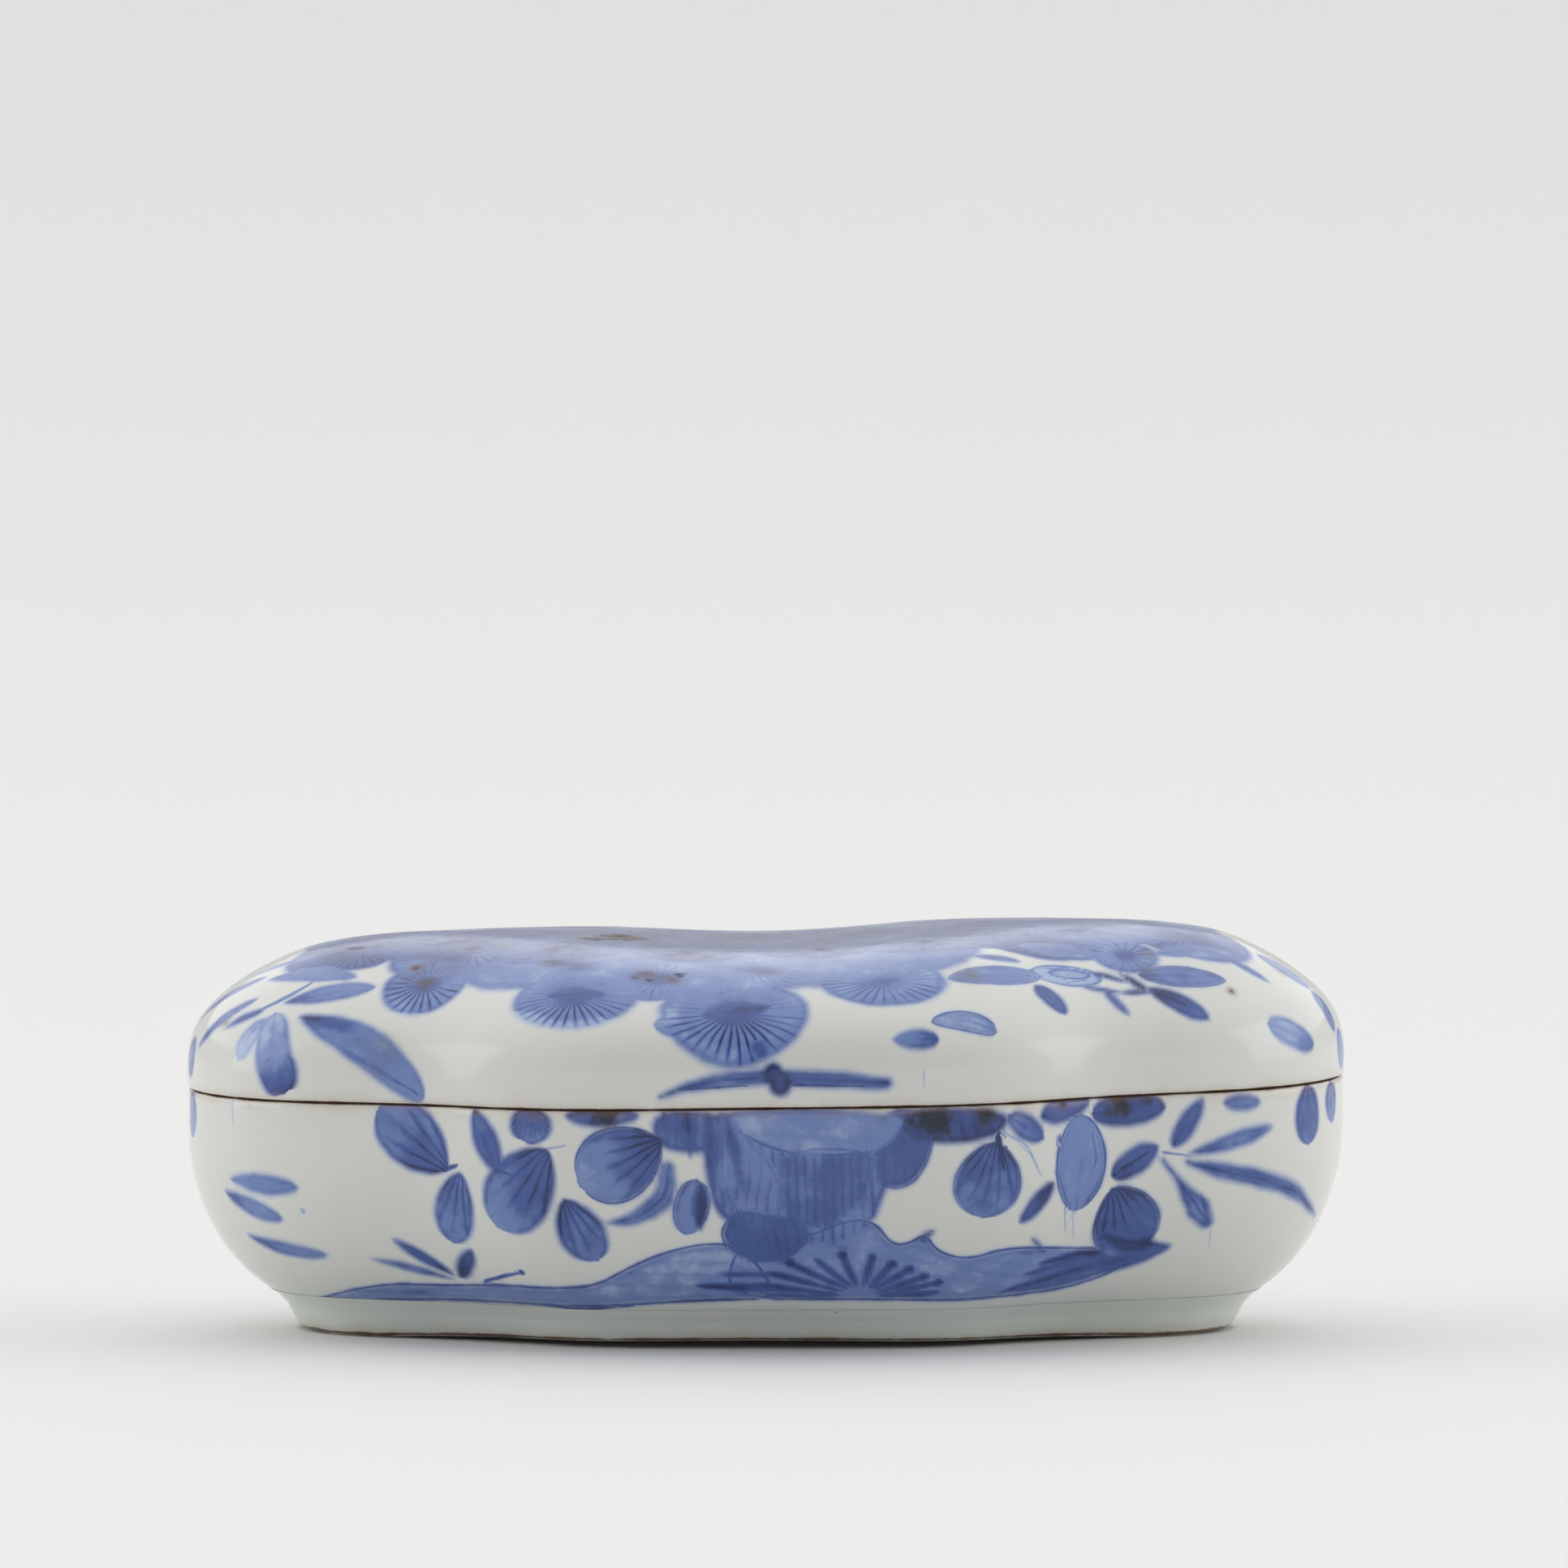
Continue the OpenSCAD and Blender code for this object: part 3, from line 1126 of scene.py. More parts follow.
@dataclass(frozen=True)
class Ground:
    """A broad wash with a drawn edge, such as a bank of earth or a rock.

    Attributes:
        edge: corners of its outline on the side's drawing.
        tone: its strength.
        outline: strength of the line round it, or 0 for none.
        hatch: spacing of its brush marks.
        lean: direction of the brush marks, in degrees from upright.
        force: strength of the brush marks.
    """

    edge: tuple[Place, ...]
    tone: float = 0.4
    outline: float = 0.6
    hatch: float = 1.1
    lean: float = 0.0
    force: float = 0.12

    def paint(self, canvas: Canvas, side: Side) -> None:
        """Brushes the wash on to the canvas."""
        view = canvas.views[side]
        corners = self._eased()
        low, high = corners.min(axis=0) - 1.5, corners.max(axis=0) + 1.5
        inside = ((view[:, :2] > low) & (view[:, :2] < high)).all(axis=1)
        index = np.flatnonzero(inside & (canvas.turned[side] > 0.15))
        places = view[index, :2]
        depth = np.full(len(index), Canvas.FAR)
        winding = np.zeros(len(index), bool)
        for a, b in zip(corners, np.roll(corners, -1, axis=0)):
            span = b - a
            share = np.clip((places - a) @ span / max(float(span @ span), 1e-9), 0.0, 1.0)
            depth = np.minimum(depth, np.linalg.norm(places - a - share[:, None] * span, axis=1))
            crosses = (a[1] > places[:, 1]) != (b[1] > places[:, 1])
            with np.errstate(divide="ignore", invalid="ignore"):
                at = a[0] + (places[:, 1] - a[1]) * span[0] / span[1]
            winding ^= crosses & (places[:, 0] < at)
        depth = np.where(winding, -depth, depth)
        lean = math.radians(self.lean)
        mark = (places[:, 0] * math.cos(lean) + places[:, 1] * math.sin(lean)) / self.hatch
        canvas.lay_wash(index, depth, self.tone, mark, self.force)
        if self.outline:
            canvas.lay_line(index, depth + 0.2, OUTLINE_HALF, self.outline)

    def _eased(self) -> np.ndarray:
        """The outline with its corners cut twice, as a brush rounds them."""
        corners = np.array(self.edge, float)
        for _ in range(2):
            after = np.roll(corners, -1, axis=0)
            cut = [corners * 0.75 + after * 0.25, corners * 0.25 + after * 0.75]
            corners = np.stack(cut, axis=1).reshape(-1, 2)
        return corners


@dataclass(frozen=True)
class Stain:
    """A soft stain: cobalt heaped to olive black, or rust from a speck of iron.

    Attributes:
        place: its middle.
        radius: distance at which it has faded to a third.
        layer: heap or rust.
        force: its strength.
    """

    place: Place
    radius: float
    layer: str = "heap"
    force: float = 0.8

    def paint(self, canvas: Canvas, side: Side) -> None:
        """Leaves the stain on the canvas."""
        canvas.stain(self.layer, canvas.spot(side, self.place)[0], self.radius, self.force)


Motif = Petal | PineFan | Stroke | Ground | Stain


# ---------------------------------------------------------------- finishes


class Bench:
    """A node tree, with short words for adding nodes and joining them."""

    def __init__(self, tree: bpy.types.NodeTree) -> None:
        """Takes the tree to work on."""
        self.tree = tree

    def add(
        self, kind: str, inputs: dict[str | int, object] | None = None, **settings: object
    ) -> bpy.types.Node:
        """Adds a node.

        Args:
            kind: the node's type, without its prefix.
            inputs: what each input is joined to or set to.
            **settings: the node's own settings.

        Returns:
            The node.
        """
        made = self.tree.nodes.new("ShaderNode" + kind)
        for name, value in settings.items():
            setattr(made, name, value)
        for name, value in (inputs or {}).items():
            if isinstance(value, bpy.types.NodeSocket):
                self.tree.links.new(value, made.inputs[name])
            else:
                made.inputs[name].default_value = value
        return made

    def math(self, operation: str, *values: object, clamp: bool = False) -> bpy.types.NodeSocket:
        """Output of a Math node on one to three values."""
        return self.add("Math", dict(enumerate(values)), operation=operation, use_clamp=clamp).outputs[0]

    def slope(
        self, value: object, low: float, high: float, start: float = 0.0, stop: float = 1.0
    ) -> bpy.types.NodeSocket:
        """Output of a smooth Map Range node."""
        inputs = {0: value, 1: low, 2: high, 3: start, 4: stop}
        return self.add("MapRange", inputs, interpolation_type="SMOOTHSTEP").outputs[0]

    def layer(self, name: str) -> bpy.types.NodeSocket:
        """One of the piece's own point layers."""
        return self.add("Attribute", attribute_name=name, attribute_type="GEOMETRY").outputs["Fac"]

    def noise(self, scale: float, detail: float = 3.0, roughness: float = 0.5) -> bpy.types.NodeSocket:
        """Noise on the object's coordinates, with features of about 1 / scale metres."""
        place = self.add("TexCoord").outputs["Object"]
        inputs = {"Vector": place, "Scale": scale, "Detail": detail, "Roughness": roughness}
        return self.add("TexNoise", inputs).outputs["Fac"]

    def blend(self, share: object, first: object, second: object) -> bpy.types.NodeSocket:
        """Output of a colour Mix node."""
        return self.add("Mix", {0: share, 6: first, 7: second}, data_type="RGBA").outputs[2]


@dataclass(frozen=True)
class Effect:
    """A shared effect, kept as a shader node group that is built once.

    Attributes:
        name: the group's name.
        takes: its inputs and their usual values.
        gives: its outputs.
    """

    name: str
    takes: tuple[tuple[str, float], ...]
    gives: tuple[str, ...]

    def group(self) -> bpy.types.NodeTree:
        """The node group, made if it isn't there yet."""
        found = bpy.data.node_groups.get(self.name)
        if found:
            return found
        tree = bpy.data.node_groups.new(self.name, "ShaderNodeTree")
        for title, usual in self.takes:
            socket = tree.interface.new_socket(title, in_out="INPUT", socket_type="NodeSocketFloat")
            socket.default_value = usual
        for title in self.gives:
            tree.interface.new_socket(title, in_out="OUTPUT", socket_type="NodeSocketFloat")
        took, gave = tree.nodes.new("NodeGroupInput"), tree.nodes.new("NodeGroupOutput")
        for title, result in self.work(Bench(tree), took.outputs).items():
            tree.links.new(result, gave.inputs[title])
        return tree

    def work(self, bench: Bench, took: bpy.types.NodeOutputs) -> dict[str, bpy.types.NodeSocket]:
        """Builds the inside of the group and returns what it gives."""
        raise NotImplementedError

    def place(self, bench: Bench, **values: float) -> bpy.types.NodeOutputs:
        """Places the group in a material, with its own values."""
        made = bench.add("Group", node_tree=self.group())
        for title, value in values.items():
            made.inputs[title.replace("_", " ")].default_value = value
        return made.outputs


@dataclass(frozen=True)
class BrushWork(Effect):
    """How the cobalt left by the brush covers the ware."""

    name: str = "brush_work"
    takes: tuple[tuple[str, float], ...] = (("edge softness", 0.72), ("edge wobble", 0.5), ("water", 0.5))
    gives: tuple[str, ...] = ("cover", "density", "heap")

    def work(self, bench: Bench, took: bpy.types.NodeOutputs) -> dict[str, bpy.types.NodeSocket]:
        """Cover of washes and lines, their density, and where it is heaped."""
        uneven = bench.math("SUBTRACT", bench.noise(380.0, 2.0), 0.5)
        wobble = bench.math("MULTIPLY", uneven, took["edge wobble"])
        wash = bench.math("ADD", bench.layer("wash"), wobble)
        washed = bench.slope(bench.math("DIVIDE", wash, took["edge softness"]), 1.0, -1.0)
        side_way = bench.math("ABSOLUTE", bench.layer("line_side"))
        across = bench.math("SUBTRACT", side_way, bench.layer("line_half"))
        across = bench.math("ADD", across, bench.math("MULTIPLY", wobble, 0.5))
        near = bench.slope(bench.layer("line"), 0.42, 0.16)
        lined = bench.math("MULTIPLY", bench.slope(across, 0.26, -0.22), near)
        stray = bench.math("MULTIPLY", bench.math("SUBTRACT", bench.noise(300.0, 2.0), 0.5), 0.45)
        turns = bench.math("MULTIPLY", bench.math("ADD", bench.layer("vein"), stray), math.tau)
        wave = bench.math("MULTIPLY_ADD", bench.math("COSINE", turns), 0.5, 0.5)
        patchy = bench.slope(bench.noise(230.0, 3.0), 0.3, 0.7, 0.45, 1.3)
        thin = bench.math("POWER", wave, 3.4)
        vein = bench.math("MULTIPLY", bench.math("MULTIPLY", thin, bench.layer("vein_force")), patchy)
        pooled = bench.math("MULTIPLY", bench.slope(wash, -1.3, -0.35), 0.11)
        cloud = bench.math("SUBTRACT", bench.noise(240.0, 4.0, 0.6), 0.5)
        watery = bench.math("MULTIPLY", cloud, took["water"])
        veined = bench.math("ADD", bench.layer("tone"), vein)
        laid = bench.math("ADD", veined, bench.math("ADD", pooled, watery))
        laid = bench.math("MULTIPLY", laid, washed, clamp=True)
        drawn = bench.math("ADD", bench.layer("line_tone"), watery)
        drawn = bench.math("MULTIPLY", drawn, lined, clamp=True)
        density = bench.math("MAXIMUM", laid, drawn, clamp=True)
        cover = bench.math("MAXIMUM", washed, lined, clamp=True)
        clot = bench.math("MULTIPLY", bench.math("SUBTRACT", bench.noise(420.0, 4.0, 0.65), 0.5), 2.4)
        heap = bench.layer("heap")
        clotted = bench.math("MULTIPLY_ADD", clot, bench.slope(heap, 0.05, 0.5), heap)
        heap = bench.math("MULTIPLY", bench.slope(clotted, 0.3, 1.0), cover)
        return {"cover": cover, "density": density, "heap": heap}


@dataclass(frozen=True)
class GlazeSkin(Effect):
    """The slow ripple and the fine orange peel of a thick glaze, and how its gloss varies."""

    name: str = "glaze_skin"
    takes: tuple[tuple[str, float], ...] = (("ripple", 0.5), ("peel", 0.12))
    gives: tuple[str, ...] = ("height", "roughness", "cloud")

    def work(self, bench: Bench, took: bpy.types.NodeOutputs) -> dict[str, bpy.types.NodeSocket]:
        """Height of the surface, its roughness, and slow clouds of tone."""
        slow, fine = bench.noise(75.0, 2.0), bench.noise(650.0, 2.0)
        height = bench.math(
            "ADD", bench.math("MULTIPLY", slow, took["ripple"]), bench.math("MULTIPLY", fine, took["peel"])
        )
        cloud = bench.noise(38.0, 3.0)
        return {"height": height, "roughness": bench.slope(fine, 0.2, 0.8, 0.085, 0.15), "cloud": cloud}


@dataclass(frozen=True)
class IronSpecks(Effect):
    """Sparse specks where iron in the clay broke through the glaze."""

    name: str = "iron_specks"
    takes: tuple[tuple[str, float], ...] = (("size", 0.06), ("spacing", 170.0), ("share", 0.3))
    gives: tuple[str, ...] = ("speck",)

    def work(self, bench: Bench, took: bpy.types.NodeOutputs) -> dict[str, bpy.types.NodeSocket]:
        """Mask of the specks."""
        place = bench.add("TexCoord").outputs["Object"]
        cell = bench.add("TexVoronoi", {"Vector": place, "Scale": took["spacing"]})
        pick = bench.add("SeparateColor", {0: cell.outputs["Color"]}).outputs
        kept = bench.math("LESS_THAN", pick[0], took["share"])
        own = bench.math("MULTIPLY", took["size"], bench.math("MULTIPLY_ADD", pick[1], 0.8, 0.2))
        dot = bench.math("LESS_THAN", cell.outputs["Distance"], own)
        share = bench.math("DIVIDE", cell.outputs["Distance"], own)
        soft = bench.math("MULTIPLY", dot, bench.math("SUBTRACT", 1.0, share))
        return {"speck": bench.math("MULTIPLY", bench.math("POWER", soft, 0.35), kept, clamp=True)}


@dataclass(frozen=True)
class KilnBurnAndEdgeShade(Effect):
    """The thin orange-brown line where glaze drew back from an edge in the kiln. The same mask also lays the
    orange flush and the painted shade at that edge.
    """

    name: str = "kiln_burn_and_edge_shade"
    takes: tuple[tuple[str, float], ...] = (("reach", 0.7), ("middle", 0.0))
    gives: tuple[str, ...] = ("burn",)

    def work(self, bench: Bench, took: bpy.types.NodeOutputs) -> dict[str, bpy.types.NodeSocket]:
        """Mask of the burn or of the painted shade, broken up along the edge."""
        away = bench.math("ABSOLUTE", bench.math("SUBTRACT", bench.layer("run"), took["middle"]))
        uneven = bench.math("MULTIPLY_ADD", bench.noise(160.0, 4.0, 0.65), 2.2, -0.55)
        reach = bench.math("MULTIPLY", took["reach"], bench.math("MAXIMUM", uneven, 0.02))
        return {"burn": bench.slope(bench.math("DIVIDE", away, reach), 1.0, 0.25)}


IRON: Colour = (0.10, 0.055, 0.025, 1.0)
FLUSHED: Colour = (0.50, 0.27, 0.14, 1.0)
BURNT: Colour = (0.33, 0.17, 0.07, 1.0)
# Near-black painted shade for the gap at the seam and under the foot's standing edge.
PAINTED_EDGE_SHADE: Colour = (0.06, 0.04, 0.028, 1.0)
BARE_PALE: Colour = (0.62, 0.57, 0.49, 1.0)
BARE_WARM: Colour = (0.54, 0.47, 0.38, 1.0)
OLIVE_BLACK: Colour = (0.028, 0.028, 0.022, 1.0)
RUST: Colour = (0.165, 0.115, 0.07, 1.0)
# The colour of the cobalt at each strength, from a thin wash to a heap.
COBALT = (
    (0.0, (0.62, 0.67, 0.72, 1.0)),
    (0.16, (0.355, 0.445, 0.66, 1.0)),
    (0.38, (0.150, 0.226, 0.485, 1.0)),
    (0.62, (0.052, 0.098, 0.32, 1.0)),
    (0.85, (0.020, 0.038, 0.15, 1.0)),
    (1.0, (0.012, 0.018, 0.06, 1.0)),
)


@dataclass(frozen=True)
class Glaze:
    """A clear, faintly green porcelain glaze over underglaze cobalt.

    Attributes:
        name: the material's name.
        white: colour of the glazed ware.
        pool: colour where the glaze pooled thick.
        pool_run: run from which, and to which, it pools.
        painted: True where the piece carries the painting.
        burn_reach: how far the burnt line at the edge goes, in millimetres. The orange flush and the painted
            shade at the edge are scaled from it.
        burn_middle: run at which that line and the painted shade are.
        speck_share: share of the cells that hold an iron speck.
    """

    name: str
    white: Colour = (0.70, 0.708, 0.672, 1.0)
    pool: Colour = (0.655, 0.695, 0.655, 1.0)
    pool_run: tuple[float, float] = (18.0, 34.0)
    painted: bool = True
    burn_reach: float = 0.75
    burn_middle: float = 0.0
    speck_share: float = 0.10

    def material(self) -> bpy.types.Material:
        """The finished material."""
        made = bpy.data.materials.new(self.name)
        made.use_nodes = True
        bench = Bench(made.node_tree)
        shader = made.node_tree.nodes["Principled BSDF"]
        skin = GlazeSkin().place(bench)
        zone = bench.layer("zone")
        outside = bench.math("LESS_THAN", zone, 0.5)
        inside = bench.math("GREATER_THAN", zone, 1.5)
        glazed = bench.math("MAXIMUM", outside, inside)
        pooled = bench.math("MULTIPLY", bench.slope(bench.layer("run"), *self.pool_run), outside)
        uneven = bench.math("MULTIPLY", pooled, bench.slope(skin["cloud"], 0.1, 0.7, 0.45, 1.0))
        dimmed = tuple(c * 0.95 for c in self.white[:3]) + (1.0,)
        tint = bench.blend(bench.slope(skin["cloud"], 0.3, 0.7), self.white, dimmed)
        colour = bench.blend(uneven, tint, self.pool)
        matt: bpy.types.NodeSocket | float = 0.0
        if self.painted:
            colour, matt = self._paint(bench, colour)
        speck = IronSpecks().place(bench, share=self.speck_share)["speck"]
        colour = bench.blend(bench.math("MULTIPLY", speck, outside), colour, IRON)
        flush = KilnBurnAndEdgeShade().place(bench, reach=self.burn_reach * 4.0, middle=self.burn_middle)["burn"]
        colour = bench.blend(bench.math("MULTIPLY", flush, 0.16), colour, FLUSHED)
        burn = KilnBurnAndEdgeShade().place(bench, reach=self.burn_reach, middle=self.burn_middle)["burn"]
        colour = bench.blend(bench.math("MULTIPLY", burn, 0.85), colour, BURNT)
        # Painted shade: a near-black core on the edge line. It stands for the shadow in the seam's gap and
        # under the foot's standing edge on the table.
        painted_edge_shade = KilnBurnAndEdgeShade().place(bench, reach=self.burn_reach * 0.78, middle=self.burn_middle)["burn"]
        colour = bench.blend(bench.math("MULTIPLY", painted_edge_shade, 0.8), colour, PAINTED_EDGE_SHADE)
        bare = bench.blend(skin["cloud"], BARE_PALE, BARE_WARM)
        colour = bench.blend(glazed, bare, colour)
        rough = bench.blend(glazed, (0.62, 0.62, 0.62, 1.0), skin["roughness"])
        rough = bench.blend(matt, rough, (0.75, 0.75, 0.75, 1.0))
        bump = bench.add("Bump", {"Strength": 0.35, "Distance": 0.0004, "Height": skin["height"]})
        for name, value in (("Base Color", colour), ("Roughness", rough), ("Normal", bump.outputs[0])):
            made.node_tree.links.new(value, shader.inputs[name])
        shader.inputs["IOR"].default_value = 1.5
        shader.inputs["Specular IOR Level"].default_value = 0.5
        return made

    @staticmethod
    def _paint(bench: Bench, ware: bpy.types.NodeSocket) -> tuple[bpy.types.NodeSocket, bpy.types.NodeSocket]:
        """Lays the cobalt, its heaps and the rust stains over the ware, and tells where they are matt."""
        work = BrushWork().place(bench)
        ramp = bench.add("ValToRGB", {0: work["density"]})
        ramp.color_ramp.interpolation = "EASE"
        while len(ramp.color_ramp.elements) < len(COBALT):
            ramp.color_ramp.elements.new(0.5)
        for element, (at, colour) in zip(ramp.color_ramp.elements, COBALT):
            element.position, element.color = at, colour
        colour = bench.blend(work["cover"], ware, ramp.outputs[0])
        colour = bench.blend(bench.math("MULTIPLY", work["heap"], 0.85), colour, OLIVE_BLACK)
        worn = bench.slope(bench.noise(340.0, 4.0, 0.6), 0.32, 0.62, 0.3, 1.05)
        rust = bench.math("MULTIPLY", bench.layer("rust"), bench.math("MULTIPLY", worn, 0.8), clamp=True)
        return bench.blend(rust, colour, RUST), bench.math("MAXIMUM", work["heap"], rust)


@dataclass(frozen=True)
class BareClay:
    """Unglazed porcelain, fired and rubbed smooth.

    Attributes:
        name: the material's name.
        pale: its colour.
        warm: its colour where the kiln toasted it.
    """

    name: str = "bare_clay"
    pale: Colour = (0.63, 0.58, 0.50, 1.0)
    warm: Colour = (0.50, 0.40, 0.29, 1.0)

    def material(self) -> bpy.types.Material:
        """The finished material."""
        made = bpy.data.materials.new(self.name)
        made.use_nodes = True
        bench = Bench(made.node_tree)
        shader = made.node_tree.nodes["Principled BSDF"]
        grain = bench.noise(1400.0, 4.0, 0.6)
        colour = bench.blend(bench.slope(bench.noise(90.0, 4.0), 0.3, 0.75), self.pale, self.warm)
        speck = IronSpecks().place(bench, share=0.3, size=0.05)["speck"]
        colour = bench.blend(speck, colour, (0.14, 0.08, 0.04, 1.0))
        bump = bench.add("Bump", {"Strength": 0.4, "Distance": 0.0003, "Height": grain})
        rough = bench.slope(grain, 0.2, 0.8, 0.5, 0.72)
        for name, value in (("Base Color", colour), ("Roughness", rough), ("Normal", bump.outputs[0])):
            made.node_tree.links.new(value, shader.inputs[name])
        return made


# ---------------------------------------------------------------- studio


@dataclass
class Studio:
    """A plain pale floor that curves up far away, a soft light on each side, a pale sky and the camera.

    Attributes:
        floor_radius: radius of the floor's flat part, in metres.
        wall_radius: radius of the curve up at its edge, in metres.
        world: strength of the sky over the box.
        back_light: how much weaker the sky is right in front than at the sides.
        eye: where the camera stands.
        side_shift: how far to the right of the box's middle it stands and looks.
        target_height: height that it looks at.
        lens: its focal length.
    """

    floor_radius: float = 7.0
    wall_radius: float = 2.0
    world: float = 1.12
    back_light: float = 1.01
    eye: Eye = field(default_factory=Eye)
    side_shift: float = 2.2
    target_height: float = 66.0
    lens: float = 625.0

    def build(self) -> None:
        """Builds the floor, the lights and the camera."""
        self._floor()
        world = bpy.data.worlds.new("studio_air")
        world.use_nodes = True
        bench = Bench(world.node_tree)
        behind = bench.add("SeparateXYZ", {0: bench.add("TexCoord").outputs["Generated"]}).outputs["Y"]
        sky = world.node_tree.nodes["Background"]
        sky.inputs[0].default_value = (1.0, 1.0, 1.0, 1.0)
        shaded = bench.math("MINIMUM", behind, 0.12)
        glow = bench.math("MULTIPLY_ADD", shaded, self.back_light, self.world)
        world.node_tree.links.new(glow, sky.inputs[1])
        bpy.context.scene.world = world
        bpy.context.scene.view_settings.view_transform = "Standard"
        self._light("left_softbox", (-1.7, 0.0, 0.6), (1.2, 1.2), 5.4)
        self._light("right_softbox", (1.7, 0.0, 0.6), (1.2, 1.2), 5.4)
        data = bpy.data.cameras.new("camera")
        data.lens, data.clip_end = self.lens, 60.0
        camera = bpy.data.objects.new("camera", data)
        bpy.context.scene.collection.objects.link(camera)
        eye = Vector((self.side_shift, -self.eye.distance, self.eye.height)) * MM
        camera.location = eye
        target = Vector((self.side_shift, 0.0, self.target_height)) * MM
        camera.rotation_euler = (target - eye).to_track_quat("-Z", "Y").to_euler()
        bpy.context.scene.camera = camera

    def _floor(self) -> None:
        """Draws out the floor from a disc, and curves its edge up."""
        deselect()
        bpy.ops.mesh.primitive_circle_add(vertices=96, radius=self.floor_radius, fill_type="NGON")
        floor = bpy.context.object
        floor.name = floor.data.name = "floor"
        bpy.ops.object.mode_set(mode="EDIT")
        bpy.ops.mesh.select_mode(type="EDGE")
        mesh = bmesh.from_edit_mesh(floor.data)
        for face in mesh.faces:
            face.select_set(False)
        for edge in mesh.edges:
            edge.select_set(True)
        reach, height = self.floor_radius, 0.0
        for turn in np.radians(np.linspace(7.5, 90.0, 12)):
            far = self.floor_radius + self.wall_radius * math.sin(turn)
            up = self.wall_radius * (1.0 - math.cos(turn))
            bpy.ops.mesh.extrude_region_move(TRANSFORM_OT_translate={"value": (0.0, 0.0, up - height)})
            bpy.ops.transform.resize(value=(far / reach, far / reach, 1.0))
            reach, height = far, up
        bpy.ops.mesh.select_all(action="SELECT")
        bpy.ops.mesh.normals_make_consistent(inside=True)
        bpy.ops.object.mode_set(mode="OBJECT")
        bpy.ops.object.shade_smooth_by_angle(angle=math.radians(40.0))
        paper = bpy.data.materials.new("floor_paper")
        paper.use_nodes = True
        shader = paper.node_tree.nodes["Principled BSDF"]
        shader.inputs["Base Color"].default_value = (0.80, 0.80, 0.79, 1.0)
        shader.inputs["Roughness"].default_value = 0.75
        shader.inputs["Specular IOR Level"].default_value = 0.15
        floor.data.materials.append(paper)

    @staticmethod
    def _light(name: str, place: tuple[float, float, float], size: tuple[float, float], power: float) -> None:
        """Adds a softbox that faces the box and stays out of sight."""
        data = bpy.data.lights.new(name, "AREA")
        data.shape, data.size, data.size_y, data.energy = "RECTANGLE", size[0], size[1], power
        lamp = bpy.data.objects.new(name, data)
        bpy.context.scene.collection.objects.link(lamp)
        lamp.location = place
        lamp.rotation_euler = (-Vector(place)).to_track_quat("-Z", "Y").to_euler()
        lamp.visible_camera = False


# ---------------------------------------------------------------- what is painted


Painting = list[tuple[Side, Motif]]


def dab(
    centre: Place, half: float, width: float, tilt: float = 0.0, tone: float = 0.5, blunt: float = 0.5,
    outline: float = 0.0,
) -> Petal:
    """A round or oval touch of the brush.

    Args:
        centre: its middle.
        half: half its length on the drawing.
        width: its width on the surface.
        tilt: direction of its length, in degrees.
        tone: its strength.
        blunt: shape of its ends: 0.5 is round and 1 is pointed.
        outline: strength of a line round it.

    Returns:
        The motif.
    """
    dx, dh = half * math.cos(math.radians(tilt)), half * math.sin(math.radians(tilt))
    x, h = centre
    return Petal((x - dx, h - dh), (x + dx, h + dh), width, (tone, tone), 1.0, blunt, 2.0, 0.1, outline)


def line(*places: Place, width: float = 0.5, tone: float = 0.7) -> Stroke:
    """A thin line that swells in its middle and leaves thin."""
    return Stroke(places, (width * 0.8, width, width * 0.45), tone)


def flower_petal(
    stem: Place, end: Place, width: float, tones: tuple[float, float] = (0.62, 0.4), **more: float
) -> Petal:
    """A broad petal that is darkest and veined at its stem and rounds off at its end."""
    return Petal(stem, end, width, tones, waist=1.25, blunt=0.5, veins=7.0, force=0.36, **more)


def turned_over(motif: Motif) -> Motif:
    """The same motif, left for right."""
    def flip(place: Place) -> Place:
        return (-place[0], place[1])

    match motif:
        case Petal():
            return replace(motif, heel=flip(motif.heel), tip=flip(motif.tip), bend=-motif.bend)
        case PineFan():
            return replace(motif, hub=flip(motif.hub))
        case Stroke():
            return replace(motif, places=tuple(flip(p) for p in motif.places))
        case Ground():
            return replace(motif, edge=tuple(flip(p) for p in motif.edge), lean=-motif.lean)
        case Stain():
            return replace(motif, place=flip(motif.place))


